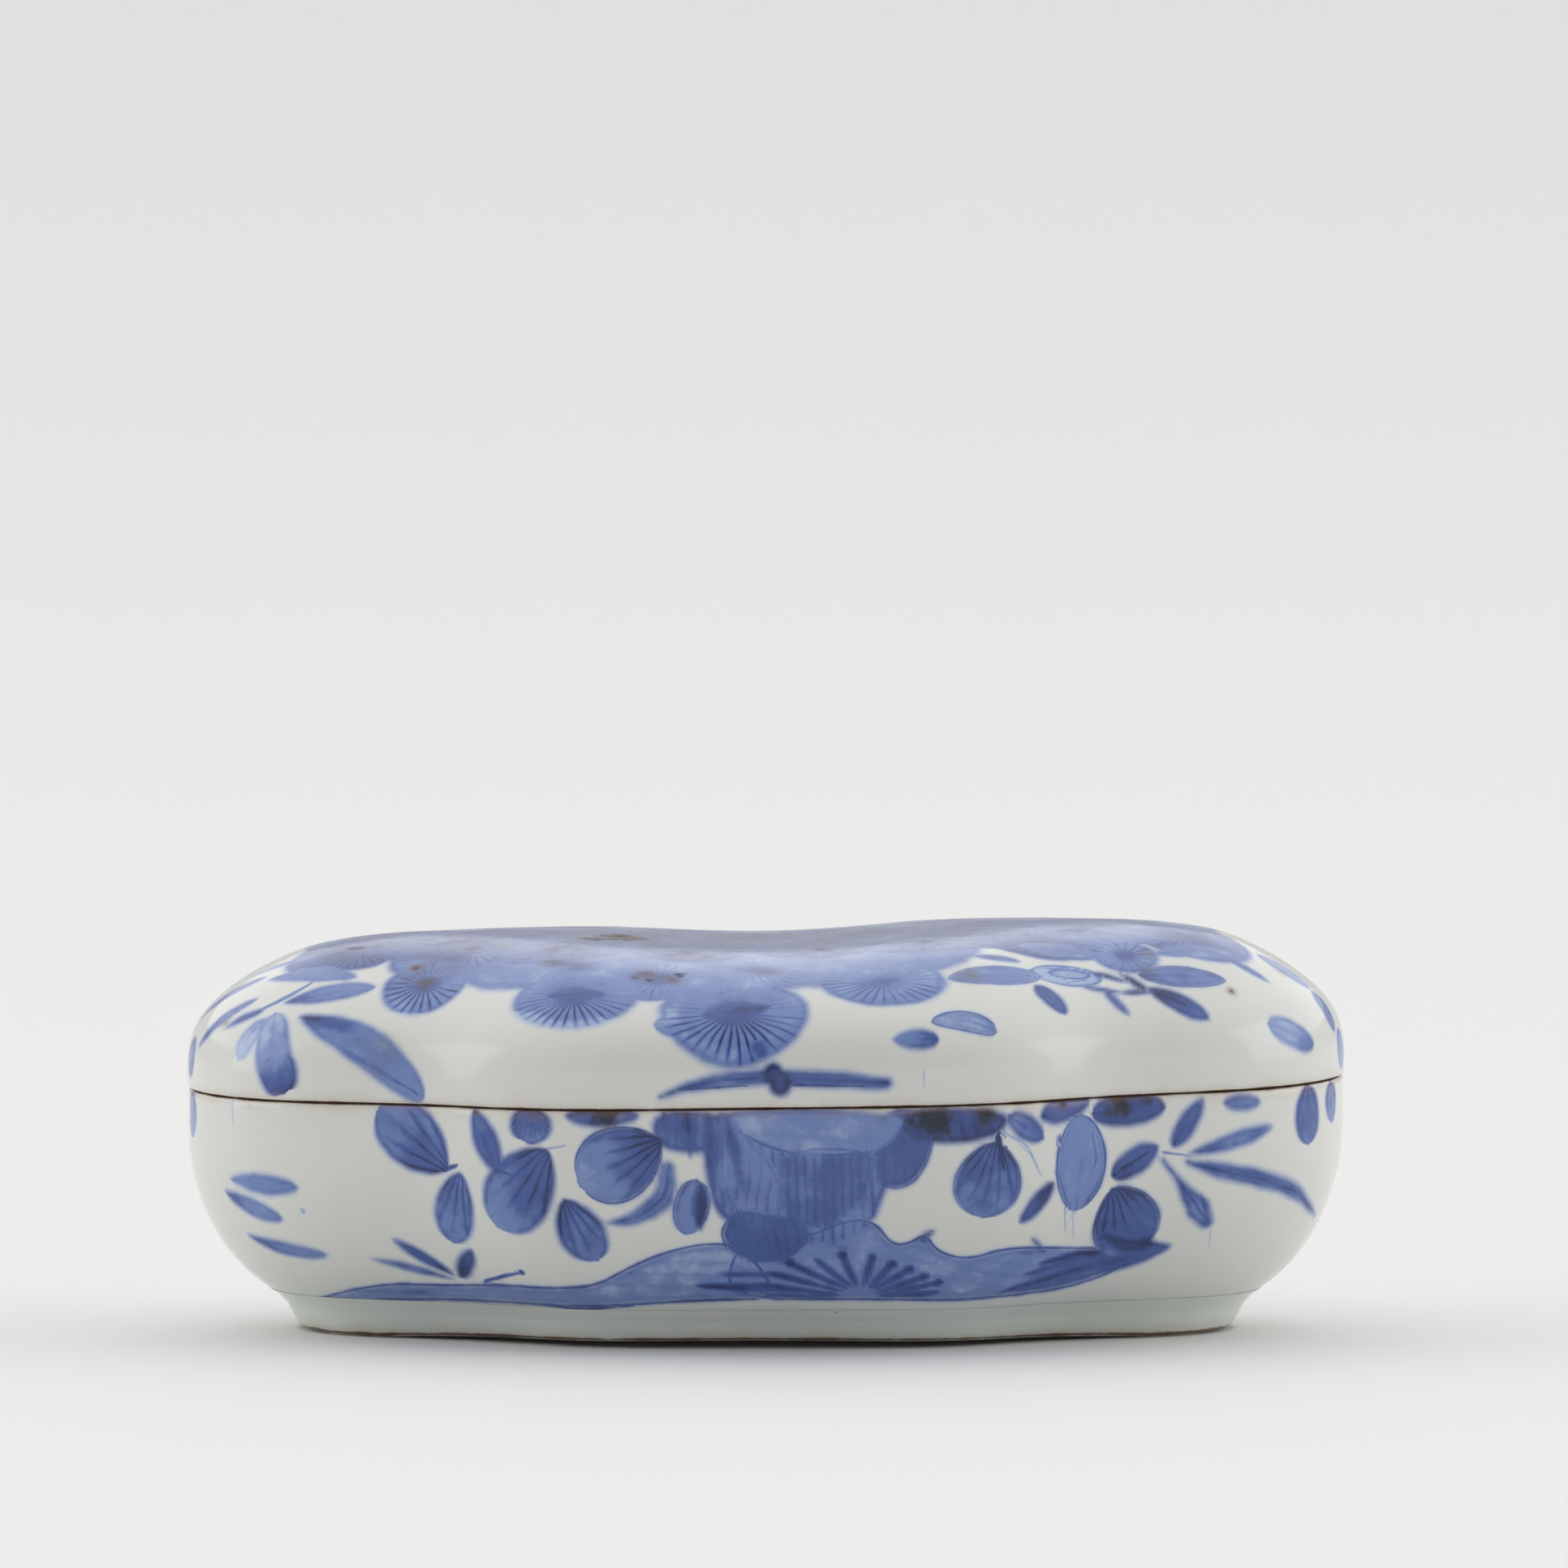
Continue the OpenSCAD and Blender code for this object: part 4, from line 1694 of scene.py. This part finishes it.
def pine_canopy() -> Painting:
    """The pine that covers the crown: a pale wash, and clusters of needles that overlap like scales."""
    rng = np.random.default_rng(41)
    wash = Ground(
        ((-57, 0), (-53, -11), (-47, -13), (-40, -17), (-33, -23), (-24, -29), (-12, -32), (4, -31),
         (14, -28), (20, -24), (30, -22), (42, -18), (50, -11), (56, 0), (54, 14), (44, 24), (30, 30),
         (16, 28), (2, 31), (-16, 30), (-30, 29), (-42, 23), (-52, 13)),
        tone=0.38, outline=0.0, hatch=2.4, lean=20.0, force=0.05,
    )
    hem = Ground(
        ((-47.5, 45.6), (-44.6, 43.0), (-38.0, 42.6), (-34.6, 40.6), (-31.0, 41.0), (-24.0, 40.4),
         (-16.4, 40.2), (-13.8, 39.6), (-10.6, 40.4), (-4.0, 39.6), (4.6, 41.2), (6.4, 40.8), (8.6, 42.0),
         (14.0, 41.6), (20.4, 42.6), (26.0, 45.0), (27.0, 47.4), (0.0, 47.6), (-30.0, 48.0), (-47.0, 47.6)),
        tone=0.34, outline=0.0, hatch=2.4, lean=60.0, force=0.05,
    )
    made: Painting = [(Side.TOP, wash), (Side.FRONT, hem)]
    for row, y in enumerate((29, 19.5, 10, 0.5, -9, -17.5)):
        reach = 52.0 - 0.022 * y * y
        for x in np.arange(-reach + 7.0 * (row % 2), reach, 14.2):
            hub = (float(x + rng.normal(0.0, 1.2)), float(y + rng.normal(0.0, 0.9)))
            size = float(rng.uniform(7.2, 8.8))
            crest = 0.22 * (1.0 - abs(y) / 30.0) - 0.1 * (x > 34.0)
            tone, core = float(rng.uniform(0.36, 0.46)) + crest, float(rng.uniform(0.1, 0.35))
            made.append((Side.TOP, PineFan(hub, (size, size * 0.85), 30, tone, 0.15, core, 1.0)))
            made.append((Side.TOP, Stain(hub, 5.0, "rust", 0.3)))
            if rng.random() < 0.45:
                made.append((Side.TOP, Stain(hub, float(rng.uniform(1.2, 2.4)), "rust", 0.7)))
    return made


def lid_front() -> Painting:
    """The lid's front: bamboo on the left, pine clusters in the middle and blossom on the right."""
    motifs: list[Motif] = [
        PineFan((-49.1, 45.8), (6.4, 6.0), 28, 0.3, 0.3, 0.5, 0.5), Stain((-49.6, 46.4), 1.6, "rust", 0.8),
        Stain((-47.6, 46.6), 1.2, "rust", 0.6), Stain((-51.0, 45.8), 1.0, "rust", 0.5),
        PineFan((-35.5, 46.0), (7.5, 6.4), 30, 0.34, 0.16, 0.4, 1.0), Stain((-35.8, 46.2), 1.5, "rust", 0.6),
        PineFan((-23.7, 44.2), (8.2, 6.0), 32, 0.33, 0.16, 0.35, 1.0),
        Stain((-25.5, 44.4), 1.9, "rust", 0.75),
        Stain((-22.6, 44.0), 1.4, "rust", 0.6),
        PineFan((-12.9, 42.5), (8.6, 6.2), 32, 0.34, 0.16, 0.5, 1.0),
        *(Stain((x, 42.6 + 0.3 * math.sin(x)), 1.5, "heap", 0.6) for x in (-15.6, -13.9, -12.0, -10.4)),
        Stain((-14.6, 43.0), 1.5, "rust", 0.8), Stain((-11.4, 42.2), 1.3, "rust", 0.7),
        PineFan((-1.6, 43.6), (9.0, 6.6), 32, 0.33, 0.14, 0.4, 1.0), Stain((0.4, 43.2), 1.5, "rust", 0.5),
        PineFan((14.2, 42.1), (8.0, 5.8), 30, 0.32, 0.34, 0.45, 0.3, 0.2),
        PineFan((-41.1, 41.6), (5.6, 6.0), 24, 0.36, 0.5, 0.7, 0.15, 0.15),
        Stain((-41.2, 42.0), 1.1, "rust", 0.8),
        Stain((-42.2, 42.6), 0.9, "rust", 0.6),
        PineFan((-23.2, 40.2), (8.0, 6.0), 32, 0.38, 0.42, 0.5, 0.15, 0.1),
        Petal((-26.4, 40.2), (-19.4, 40.4), 2.0, (0.6, 0.74), blunt=0.7),
        Petal((-1.5, 37.5), (-13.6, 36.6), 6.4, (0.36, 0.26), blunt=0.5, veins=2.0, force=0.1),
        PineFan((-3.9, 38.2), (9.2, 7.4), 34, 0.4, 0.42, 0.6, 0.15, 0.15),
        Petal((-7.8, 37.8), (0.4, 38.9), 2.4, (0.6, 0.8), blunt=0.7),
        # bamboo
        Petal((-54.5, 45.3), (-62.2, 43.0), 2.0, (0.4, 0.34)),
        Petal((-60.5, 42.8), (-69.3, 37.6), 2.4, (0.42, 0.36)),
        Petal((-61.5, 40.0), (-68.9, 34.0), 2.3, (0.42, 0.4)),
        Petal((-60.7, 38.5), (-65.5, 36.4), 1.8, (0.52, 0.46)),
        Petal((-60.4, 42.3), (-49.6, 42.5), 3.6, (0.4, 0.32), waist=1.2, blunt=0.55),
        Petal((-58.4, 39.3), (-47.3, 41.3), 3.9, (0.46, 0.34), waist=1.25, blunt=0.55),
        Petal((-60.6, 37.6), (-64.0, 32.4), 3.4, (0.24, 0.17), blunt=0.48, waist=1.2),
        Petal((-59.4, 38.2), (-58.7, 28.3), 5.9, (0.16, 0.46), waist=1.4, blunt=0.25, veins=3.0, force=0.12),
        Petal((-59.0, 33.0), (-58.7, 28.4), 5.5, (0.42, 0.78), waist=0.9, blunt=0.25, veins=3.0, force=0.1),
        Petal((-56.4, 37.7), (-41.4, 27.8), 5.2, (0.44, 0.3), waist=1.35, blunt=0.4, force=0.2, bend=0.07),
        Petal((-56.6, 37.8), (-48.4, 35.4), 1.7, (0.7, 0.45), waist=0.8),
        line((-51.0, 33.6), (-46.0, 30.6), (-42.2, 28.3), width=0.9, tone=0.5),
        Stain((-46.6, 33.4), 1.9, "rust", 0.5), Stain((-49.0, 34.6), 1.0, "rust", 0.3),
        line((-61.5, 38.4), (-57.5, 40.4), (-54.8, 42.0), width=0.9, tone=0.42),
        Stain((-65.5, 36.9), 0.75, "rust", 1.5), Stain((-42.4, 43.7), 0.75, "rust", 1.5),
        Stroke(
            ((-12.7, 28.0), (-8.0, 29.5), (-1.0, 30.3), (7.0, 30.1), (14.6, 29.6)), (0.9, 1.9, 2.4, 2.3, 1.9),
            0.46, 0.2,
        ),
        line((-9.5, 28.9), (-2.5, 29.3), width=0.7, tone=0.72),
        line((3.5, 29.4), (12.0, 29.3), width=0.8, tone=0.7),
        Stroke(((0.9, 31.0), (1.7, 29.5)), (2.8, 3.2), 0.76),
        Stroke(((-0.9, 33.9), (-0.6, 33.7)), (1.6, 1.5), 0.6),
        # loose leaves near the seam
        Petal((21.0, 35.0), (15.2, 34.9), 3.1, (0.62, 0.24), waist=0.75, blunt=0.62),
        Petal((28.0, 36.0), (20.0, 37.2), 3.4, (0.32, 0.16), waist=0.8, blunt=0.52, outline=0.5, bend=-0.08),
        line((19.2, 30.9), (19.2, 29.3), width=0.35, tone=0.16),
        # blossom
        Petal((47.0, 45.4), (56.4, 45.4), 3.2, (0.34, 0.3)),
        Petal((53.5, 46.9), (58.6, 45.4), 1.7, (0.5, 0.42)),
        Petal((40.6, 45.0), (30.6, 46.6), 4.6, (0.38, 0.3), veins=4.0, force=0.2),
        Petal((31.0, 44.4), (24.6, 45.2), 2.1, (0.4, 0.36)),
        PineFan((43.4, 45.2), (4.5, 4.2), 16, 0.34, 0.22, 0.6), Stain((46.0, 45.4), 1.4, "rust", 0.45),
        Petal((33.4, 42.7), (22.0, 42.3), 4.5, (0.34, 0.42), waist=0.9, force=0.16, outline=0.5),
        Stain((24.5, 42.9), 1.8, "rust", 0.65),
        dab((36.4, 42.8), 4.4, 4.6, -4.0, 0.16, outline=0.42),
        dab((36.8, 42.9), 2.6, 2.2, -4.0, 0.24, outline=0.5),
        Petal((45.2, 42.8), (55.8, 42.1), 4.4, (0.46, 0.36), waist=0.9, outline=0.5),
        Stain((46.0, 43.4), 1.5, "rust", 0.5),
        Petal((32.7, 41.6), (36.5, 37.9), 3.3, (0.62, 0.52), blunt=0.55),
        Petal((40.8, 41.1), (44.1, 37.8), 1.8, (0.4, 0.46)),
        Petal((46.0, 41.3), (53.9, 37.3), 3.5, (0.78, 0.5), waist=1.1, blunt=0.6, force=0.3),
        Petal((39.6, 43.2), (44.0, 41.8), 1.5, (0.7, 0.6)),
        Petal((38.2, 41.4), (43.6, 40.6), 1.3, (0.6, 0.5)),
        Petal((46.8, 40.4), (42.6, 43.2), 1.5, (0.72, 0.6)),
        Petal((42.6, 40.6), (47.4, 40.8), 1.3, (0.66, 0.6)),
        Petal((55.4, 45.1), (61.2, 41.8), 1.9, (0.44, 0.4)),
        Petal((59.6, 45.6), (66.2, 41.2), 4.0, (0.36, 0.36), blunt=0.6),
        Stain((62.4, 43.4), 1.3, "rust", 0.5),
        Petal((60.8, 36.8), (66.5, 34.2), 4.0, (0.26, 0.36), blunt=0.47),
        Petal((66.4, 41.0), (69.0, 35.8), 3.6, (0.42, 0.36), blunt=0.5),
        Stain((56.5, 40.8), 0.6, "rust", 1.4),
    ]
    return [(Side.FRONT, motif) for motif in motifs]


def lid_painting() -> Painting:
    """Everything on the lid, from the crown outwards."""
    front = lid_front()
    back = [(Side.BACK, turned_over(motif)) for _, motif in front if not isinstance(motif, Stain)]
    smudge: Painting = [
        (Side.TOP, Stain((-18.0 + dx, y), 2.5, layer, 1.0))
        for layer in ("heap", "rust")
        for dx, y in ((-2.4, -8.5), (0.2, -7.5), (2.2, -5.5), (-0.8, -4.5), (1.0, -2.0))
    ]
    left: list[Motif] = [
        Petal((-12.0, 41.6), (-21.5, 38.0), 3.4, (0.46, 0.36)),
        Petal((-11.0, 41.0), (-3.5, 36.4), 3.2, (0.5, 0.38)),
        Petal((-12.0, 40.0), (-15.0, 32.0), 4.0, (0.24, 0.62), waist=1.4, blunt=0.5),
        Petal((5.6, 30.2), (5.9, 25.0), 4.2, (0.4, 0.5), blunt=0.45),
    ]
    right: list[Motif] = [
        Petal((11.0, 41.0), (3.4, 38.0), 3.6, (0.5, 0.36)),
        Petal((12.5, 41.4), (20.0, 38.6), 3.2, (0.46, 0.34)),
        Petal((12.0, 40.0), (15.0, 33.0), 3.6, (0.6, 0.44), blunt=0.55),
        Petal((-5.9, 31.2), (-5.6, 26.0), 4.2, (0.34, 0.3), blunt=0.45),
    ]
    ends = [(Side.LEFT, motif) for motif in left] + [(Side.RIGHT, motif) for motif in right]
    return pine_canopy() + smudge + back + ends + front


def bank() -> list[Motif]:
    """The bank of earth along the foot, with the pine needles and the feathered leaf that lie on it."""
    needles: list[Motif] = []
    for end, dotted in (
        ((-1.6, 5.2), False), ((0.4, 6.6), False), ((2.9, 7.8), True), ((6.0, 8.3), False),
        ((9.3, 8.7), True),
        ((12.9, 8.4), True), ((15.3, 7.6), True), ((17.4, 7.0), True), ((19.2, 6.1), True),
        ((20.9, 5.4), True),
        ((21.0, 4.3), False),
    ):
        start = (11.6 + 0.22 * (end[0] - 11.6), 3.4 + 0.3 * (end[1] - 3.4))
        needles.append(Petal(start, end, 0.95, (0.7, 0.78), waist=1.4, blunt=0.4, force=0.0))
        if dotted:
            needles.append(dab(end, 0.6, 1.2, 0.0, 0.78))
    return [
        Ground(
            ((-58.6, 2.4), (-47.3, 5.5), (-39.1, 5.2), (-32.4, 5.3), (-26.2, 4.8), (-20.6, 5.1), (-17.0, 7.2),
             (-12.4, 9.2), (-6.7, 10.5), (-2.0, 9.6), (2.0, 3.2), (-6.8, 3.1), (-13.4, 2.7), (-22.1, 2.2),
             (-26.8, 2.55), (-41.7, 3.4)),
            0.30, 0.62, 1.5, 88.0, 0.05,
        ),
        Petal((-40.5, 4.2), (-49.5, 4.3), 1.5, (0.42, 0.4)),
        line((-28.5, 2.7), (-22.0, 2.2), (-16.0, 2.5), width=0.7, tone=0.7),
        Ground(
            ((-5.0, 3.2), (-4.0, 9.8), (1.0, 10.6), (5.4, 11.2), (9.9, 13.2), (13.3, 13.0), (15.4, 10.1),
             (17.4, 10.3), (19.5, 11.6), (20.8, 9.3), (24.5, 8.3), (29.1, 9.8), (35.7, 9.8), (47.5, 9.6),
             (42.0, 6.4), (36.0, 4.4), (28.6, 3.5), (22.4, 3.0), (11.6, 3.2)),
            0.33, 0.6, 1.6, 80.0, 0.06,
        ),
        Petal((18.6, 10.6), (20.6, 11.8), 1.1, (0.7, 0.7)),
        Petal((32.2, 10.9), (33.8, 9.2), 0.9, (0.66, 0.6)),
        Petal((27.6, 3.9), (49.4, 9.9), 5.0, (0.5, 0.62), waist=1.25, blunt=0.7, veins=6.0, force=0.22),
        Petal((29.0, 4.4), (44.0, 8.4), 1.3, (0.7, 0.72)), Petal((33.0, 7.6), (47.6, 9.9), 1.5, (0.8, 0.74)),
        Petal((31.0, 6.2), (39.0, 8.6), 1.1, (0.7, 0.64)),
        Petal((-8.4, 5.0), (4.6, 4.4), 1.5, (0.74, 0.6)), Petal((-5.8, 6.4), (2.4, 6.3), 1.1, (0.62, 0.56)),
        Petal((-2.0, 3.7), (9.0, 3.5), 1.2, (0.6, 0.6)),
        *needles,
    ]


def rock() -> list[Motif]:
    """The garden rock in the middle of the front, lobe behind lobe."""
    return [
        Ground(
            ((-9.0, 26.8), (18.0, 26.8), (15.5, 18.0), (12.5, 10.8), (4.0, 9.6), (-3.0, 9.6), (-5.0, 14.0),
             (-7.6, 20.0)),
            0.44, 0.0, 1.3, 5.0, 0.1,
        ),
        Ground(
            ((13.0, 26.5), (21.0, 26.5), (20.4, 21.5), (18.6, 17.6), (15.6, 16.4), (13.2, 17.6)), 0.6, 0.35,
            1.3, 4.0, 0.06,
        ),
        Ground(
            ((16.0, 26.8), (29.8, 26.8), (29.4, 23.6), (25.0, 22.2), (20.0, 22.0), (16.6, 23.4)), 0.72, 0.0,
            1.7, 14.0, 0.05,
        ),
        Ground(
            ((-14.2, 26.5), (-5.0, 26.5), (-5.4, 22.0), (-8.4, 20.6), (-13.6, 21.6)), 0.5, 0.0, 1.2, 0.0,
            0.09,
        ),
        Ground(
            ((-7.2, 26.2), (-3.0, 26.2), (-2.2, 11.6), (-6.2, 13.2), (-7.4, 18.0)), 0.52, 0.0, 1.1, 3.0, 0.1,
        ),
        Ground(
            (
                (-4.9, 25.8), (-1.6, 22.4), (1.2, 19.2), (2.4, 14.6), (0.6, 11.6), (-2.6, 12.6), (-5.4, 16.8),
                (-5.6, 22.0),
            ),
            0.42, 0.52, 1.3, -6.0, 0.08,
        ),
        Petal((-9.6, 26.6), (-9.0, 20.4), 1.8, (0.74, 0.5)),
        Petal((-7.0, 25.8), (-6.6, 15.6), 1.6, (0.7, 0.56)),
        Petal((-4.7, 25.2), (-2.6, 16.4), 1.5, (0.6, 0.52)),
        Petal((-12.4, 26.6), (-12.2, 22.6), 1.8, (0.66, 0.5)),
        Ground(
            ((1.2, 21.8), (13.6, 21.8), (12.8, 18.0), (10.8, 13.9), (7.6, 12.0), (4.2, 12.0), (1.8, 14.2)),
            0.54, 0.5, 1.1, 2.0, 0.08,
        ),
        Ground(
            ((-4.6, 26.5), (17.5, 26.5), (15.6, 22.6), (12.6, 21.0), (5.0, 20.8), (0.2, 21.8), (-3.0, 23.8)),
            0.35, 0.0, 2.6, 85.0, 0.05,
        ),
        line((-3.6, 24.0), (0.4, 21.9), (5.6, 20.9), (12.4, 21.2), (15.6, 23.0), width=0.6, tone=0.55),
        Ground(
            ((-6.2, 10.6), (-4.0, 14.4), (0.4, 13.6), (4.9, 13.0), (5.5, 10.6), (2.6, 8.0), (-1.6, 7.6)),
            0.58, 0.62, 1.2, 12.0, 0.05,
        ),
        Stain((20.5, 25.2), 2.6, "heap", 1.3), Stain((17.6, 24.9), 1.6, "heap", 0.8),
        Stain((26.4, 25.6), 1.9, "heap", 1.0),
        Stain((-6.6, 26.0), 1.2, "heap", 0.8),
    ]


def blossom_left() -> list[Motif]:
    """The blossom that hangs from the rim left of the rock."""
    return [
        flower_petal((-38.5, 19.1), (-46.9, 26.6), 8.0),
        flower_petal((-37.0, 18.9), (-37.9, 10.2), 6.0, (0.58, 0.42)),
        Petal((-32.4, 18.8), (-35.3, 26.6), 3.7, (0.6, 0.56), force=0.2),
        Petal((-28.3, 27.6), (-28.6, 22.4), 5.8, (0.6, 0.4), blunt=0.3, veins=8.0, force=0.3),
        flower_petal((-26.4, 21.6), (-32.6, 12.2), 9.2, (0.7, 0.38)),
        flower_petal((-24.5, 15.6), (-20.4, 8.0), 6.4, (0.66, 0.4)),
        Stroke(
            ((-11.9, 19.2), (-12.5, 15.6), (-15.8, 13.2), (-19.2, 12.6)), (2.2, 3.0, 2.2, 0.6), 0.42, 0.15,
        ),
        dab((-19.8, 25.6), 4.6, 3.0, 0.0, 0.52), Stain((-19.6, 25.9), 2.0, "heap", 1.3),
        Stain((-22.2, 26.2), 1.1, "heap", 0.8),
        flower_petal((-12.6, 22.6), (-22.6, 17.4), 9.4, (0.74, 0.27), outline=0.6),
        Petal((-8.4, 17.9), (-9.7, 11.2), 4.6, (0.44, 0.4), blunt=0.5, outline=0.5),
        Petal((-7.9, 17.4), (-7.9, 11.6), 1.7, (0.8, 0.74)),
        line((-28.0, 21.4), (-24.4, 22.0), width=0.4, tone=0.3),
        line((-39.0, 19.2), (-37.6, 19.6), width=1.2, tone=0.7),
        line((-32.6, 19.0), (-30.4, 18.4), width=1.0, tone=0.7), Stain((-28.2, 25.8), 1.1, "heap", 0.8),
        Stain((-34.9, 26.3), 0.9, "heap", 0.7),
        # sprout
        Petal((-37.4, 6.1), (-45.4, 10.8), 2.2, (0.6, 0.5), waist=1.1),
        Petal((-37.6, 5.7), (-47.9, 8.3), 1.7, (0.46, 0.36), waist=1.1),
        Petal((-37.0, 5.9), (-35.6, 9.5), 2.6, (0.84, 0.6), blunt=0.6),
        line((-33.9, 5.6), (-31.6, 6.2), (-29.6, 6.6), width=0.7, tone=0.6),
        Stroke(((-29.6, 6.6),), (1.0,), 0.66),
        # dashes
        Petal((-65.0, 18.1), (-56.6, 16.9), 2.9, (0.3, 0.4), waist=1.2, blunt=0.48),
        Petal((-65.6, 16.5), (-58.5, 13.1), 2.8, (0.46, 0.32), waist=1.2, blunt=0.48),
        Petal((-62.9, 11.2), (-53.0, 8.7), 2.5, (0.4, 0.34), waist=1.2, blunt=0.5),
        Stroke(((-56.1, 14.1),), (0.9,), 0.22),
        line((-64.6, 27.4), (-64.6, 24.6), width=0.4, tone=0.16),
        line((-62.6, 27.8), (-62.5, 26.6), width=0.5, tone=0.14),
    ]


def blossom_right() -> list[Motif]:
    """The blossom, the bud and the bamboo right of the rock."""
    return [
        line((29.0, 23.6), (31.6, 22.0), (33.4, 18.4), width=0.4, tone=0.3),
        line((28.6, 24.2), (32.4, 20.6), width=0.35, tone=0.24),
        flower_petal((28.0, 22.6), (26.0, 13.3), 9.0, (0.7, 0.42), outline=0.45),
        line((28.2, 23.0), (28.8, 19.4), width=1.2, tone=0.85),
        dab((31.6, 24.3), 2.6, 3.6, -35.0, 0.5), dab((36.2, 26.6), 3.2, 3.4, 20.0, 0.6),
        dab((44.0, 26.4), 4.5, 4.4, 6.0, 0.66, 0.42), Stain((42.8, 27.4), 1.9, "heap", 1.3),
        Stain((46.2, 27.6), 1.5, "heap", 0.8),
        Petal(
            (37.6, 14.1), (38.2, 25.9), 7.6, (0.4, 0.3), waist=1.0, blunt=0.55, veins=3.0, force=0.12,
            outline=0.6,
        ),
        line((39.6, 23.6), (40.0, 20.0), (38.4, 17.0), width=0.5, tone=0.5),
        line((35.4, 23.0), (35.0, 18.6), width=0.4, tone=0.4),
        Petal((34.9, 17.6), (30.8, 12.6), 2.7, (0.8, 0.56), blunt=0.45),
        line((36.3, 14.2), (36.3, 11.6), width=0.35, tone=0.3),
        line((37.2, 14.1), (37.3, 11.0), width=0.35, tone=0.26),
        Petal((41.9, 18.2), (47.7, 22.1), 3.8, (0.7, 0.56), force=0.25, blunt=0.6),
        line((43.4, 19.4), (46.4, 21.2), width=0.9, tone=0.88),
        flower_petal((42.1, 17.0), (44.6, 9.2), 9.2, (0.72, 0.5), outline=0.5),
        Stroke(((41.2, 11.0), (43.8, 9.8), (46.6, 10.4)), (1.2, 1.9, 1.2), 0.8),
        Petal((49.3, 21.8), (53.1, 27.9), 2.9, (0.5, 0.56)),
        Petal((50.9, 20.9), (61.6, 24.4), 2.4, (0.46, 0.4), waist=1.2),
        Stroke(
            ((51.2, 20.0), (55.0, 19.0), (60.0, 18.0), (64.2, 16.4), (66.9, 13.4)), (1.0, 2.2, 2.6, 2.2, 0.7),
            0.46, 0.24,
        ),
        line((56.0, 19.2), (62.0, 17.8), (66.4, 14.4), width=0.5, tone=0.62),
        Stroke(((48.2, 20.2), (50.2, 17.6), (52.4, 14.4), (53.4, 12.8)), (0.8, 1.4, 3.4, 2.2), 0.5, 0.16),
        line((53.0, 15.6), (53.6, 12.6), width=0.9, tone=0.66),
        line((48.3, 21.2), (51.2, 20.8), width=0.5, tone=0.4),
        line((53.9, 11.6), (53.8, 9.8), width=0.3, tone=0.12),
        dab((57.7, 27.3), 2.3, 2.5, 0.0, 0.44),
        Petal((65.4, 29.8), (65.7, 22.2), 6.0, (0.6, 0.5), waist=1.1, blunt=0.45),
        Petal((68.3, 30.0), (68.7, 24.9), 4.4, (0.46, 0.4), blunt=0.5), Stain((35.8, 27.2), 1.0, "heap", 0.8),
    ]


def base_painting() -> Painting:
    """Everything on the base: bank, rock and blossom in front, and the same hand on the ends and the back."""
    left, right = blossom_left(), blossom_right()
    back: Painting = [
        (Side.BACK, turned_over(motif)) for motif in left + right + bank() if not isinstance(motif, Stain)
    ]
    back += [
        (Side.BACK, flower_petal((4.0, 19.0), (-4.0, 25.6), 8.0)),
        (Side.BACK, flower_petal((4.6, 18.6), (3.0, 10.4), 8.4)),
        (Side.BACK, flower_petal((5.4, 19.4), (12.8, 24.6), 7.6)),
        (Side.BACK, Stroke(((4.6, 19.0),), (2.0,), 0.85)),
    ]
    ends: list[Motif] = [
        Petal((13.0, 19.0), (4.6, 22.6), 3.2, (0.5, 0.4)),
        Petal((13.0, 18.6), (21.0, 23.4), 3.2, (0.52, 0.42)),
        Petal((13.6, 17.6), (20.6, 13.0), 3.8, (0.6, 0.44), blunt=0.5),
        Petal((12.2, 17.4), (6.4, 12.8), 3.2, (0.56, 0.44), blunt=0.5),
        line((13.0, 25.8), (13.2, 21.0), (13.0, 16.0), width=0.9, tone=0.62),
    ]
    sides: Painting = [(Side.RIGHT, motif) for motif in ends]
    sides += [(Side.LEFT, turned_over(motif)) for motif in ends]
    sides.append((Side.LEFT, Petal((5.8, 23.6), (6.2, 17.6), 4.6, (0.42, 0.4), blunt=0.45)))
    return back + sides + [(Side.FRONT, motif) for motif in bank() + rock() + left + right]


# ---------------------------------------------------------------- assembly


def shared_form() -> Form:
    """The form of this box, sized on its CAD nodes."""
    base_low, base_high = box_mm("base_shell")
    _, foot_high = box_mm("foot_ring")
    length = float(base_high[0] - base_low[0])
    lift = 2.0 * (float(base_high[2]) - RIM_HEIGHT)
    columns = 800
    kiln = Kiln(lift, length, float(foot_high[2]), RIM_HEIGHT)
    return Form(LobedPlan(length).outline(columns), kiln, RIM_HEIGHT)


def main() -> None:
    """Builds the pieces, dresses them and sets the studio round them."""
    form = shared_form()
    foot_height = float(box_mm("foot_ring")[1][2])
    coarse = 1.0
    finishes = {
        "painted_porcelain": Glaze("painted_porcelain").material(),
        "foot_porcelain": Glaze(
            "foot_porcelain", painted=False, pool_run=(9.0, 4.6), burn_middle=0.35, burn_reach=0.6,
            speck_share=0.5,
        ).material(),
        "bare_porcelain": BareClay().material(),
    }
    pieces: tuple[Piece, ...] = (
        Lid(form, 17.2, spacing=0.46 * coarse),
        BaseShell(form, foot_height, spacing=0.42 * coarse),
        FootRing(form, foot_height),
        LocatingRim(form),
    )
    for piece in pieces:
        piece.dress(finishes[piece.slot])
    Studio().build()


if __name__ == "__main__":
    main()
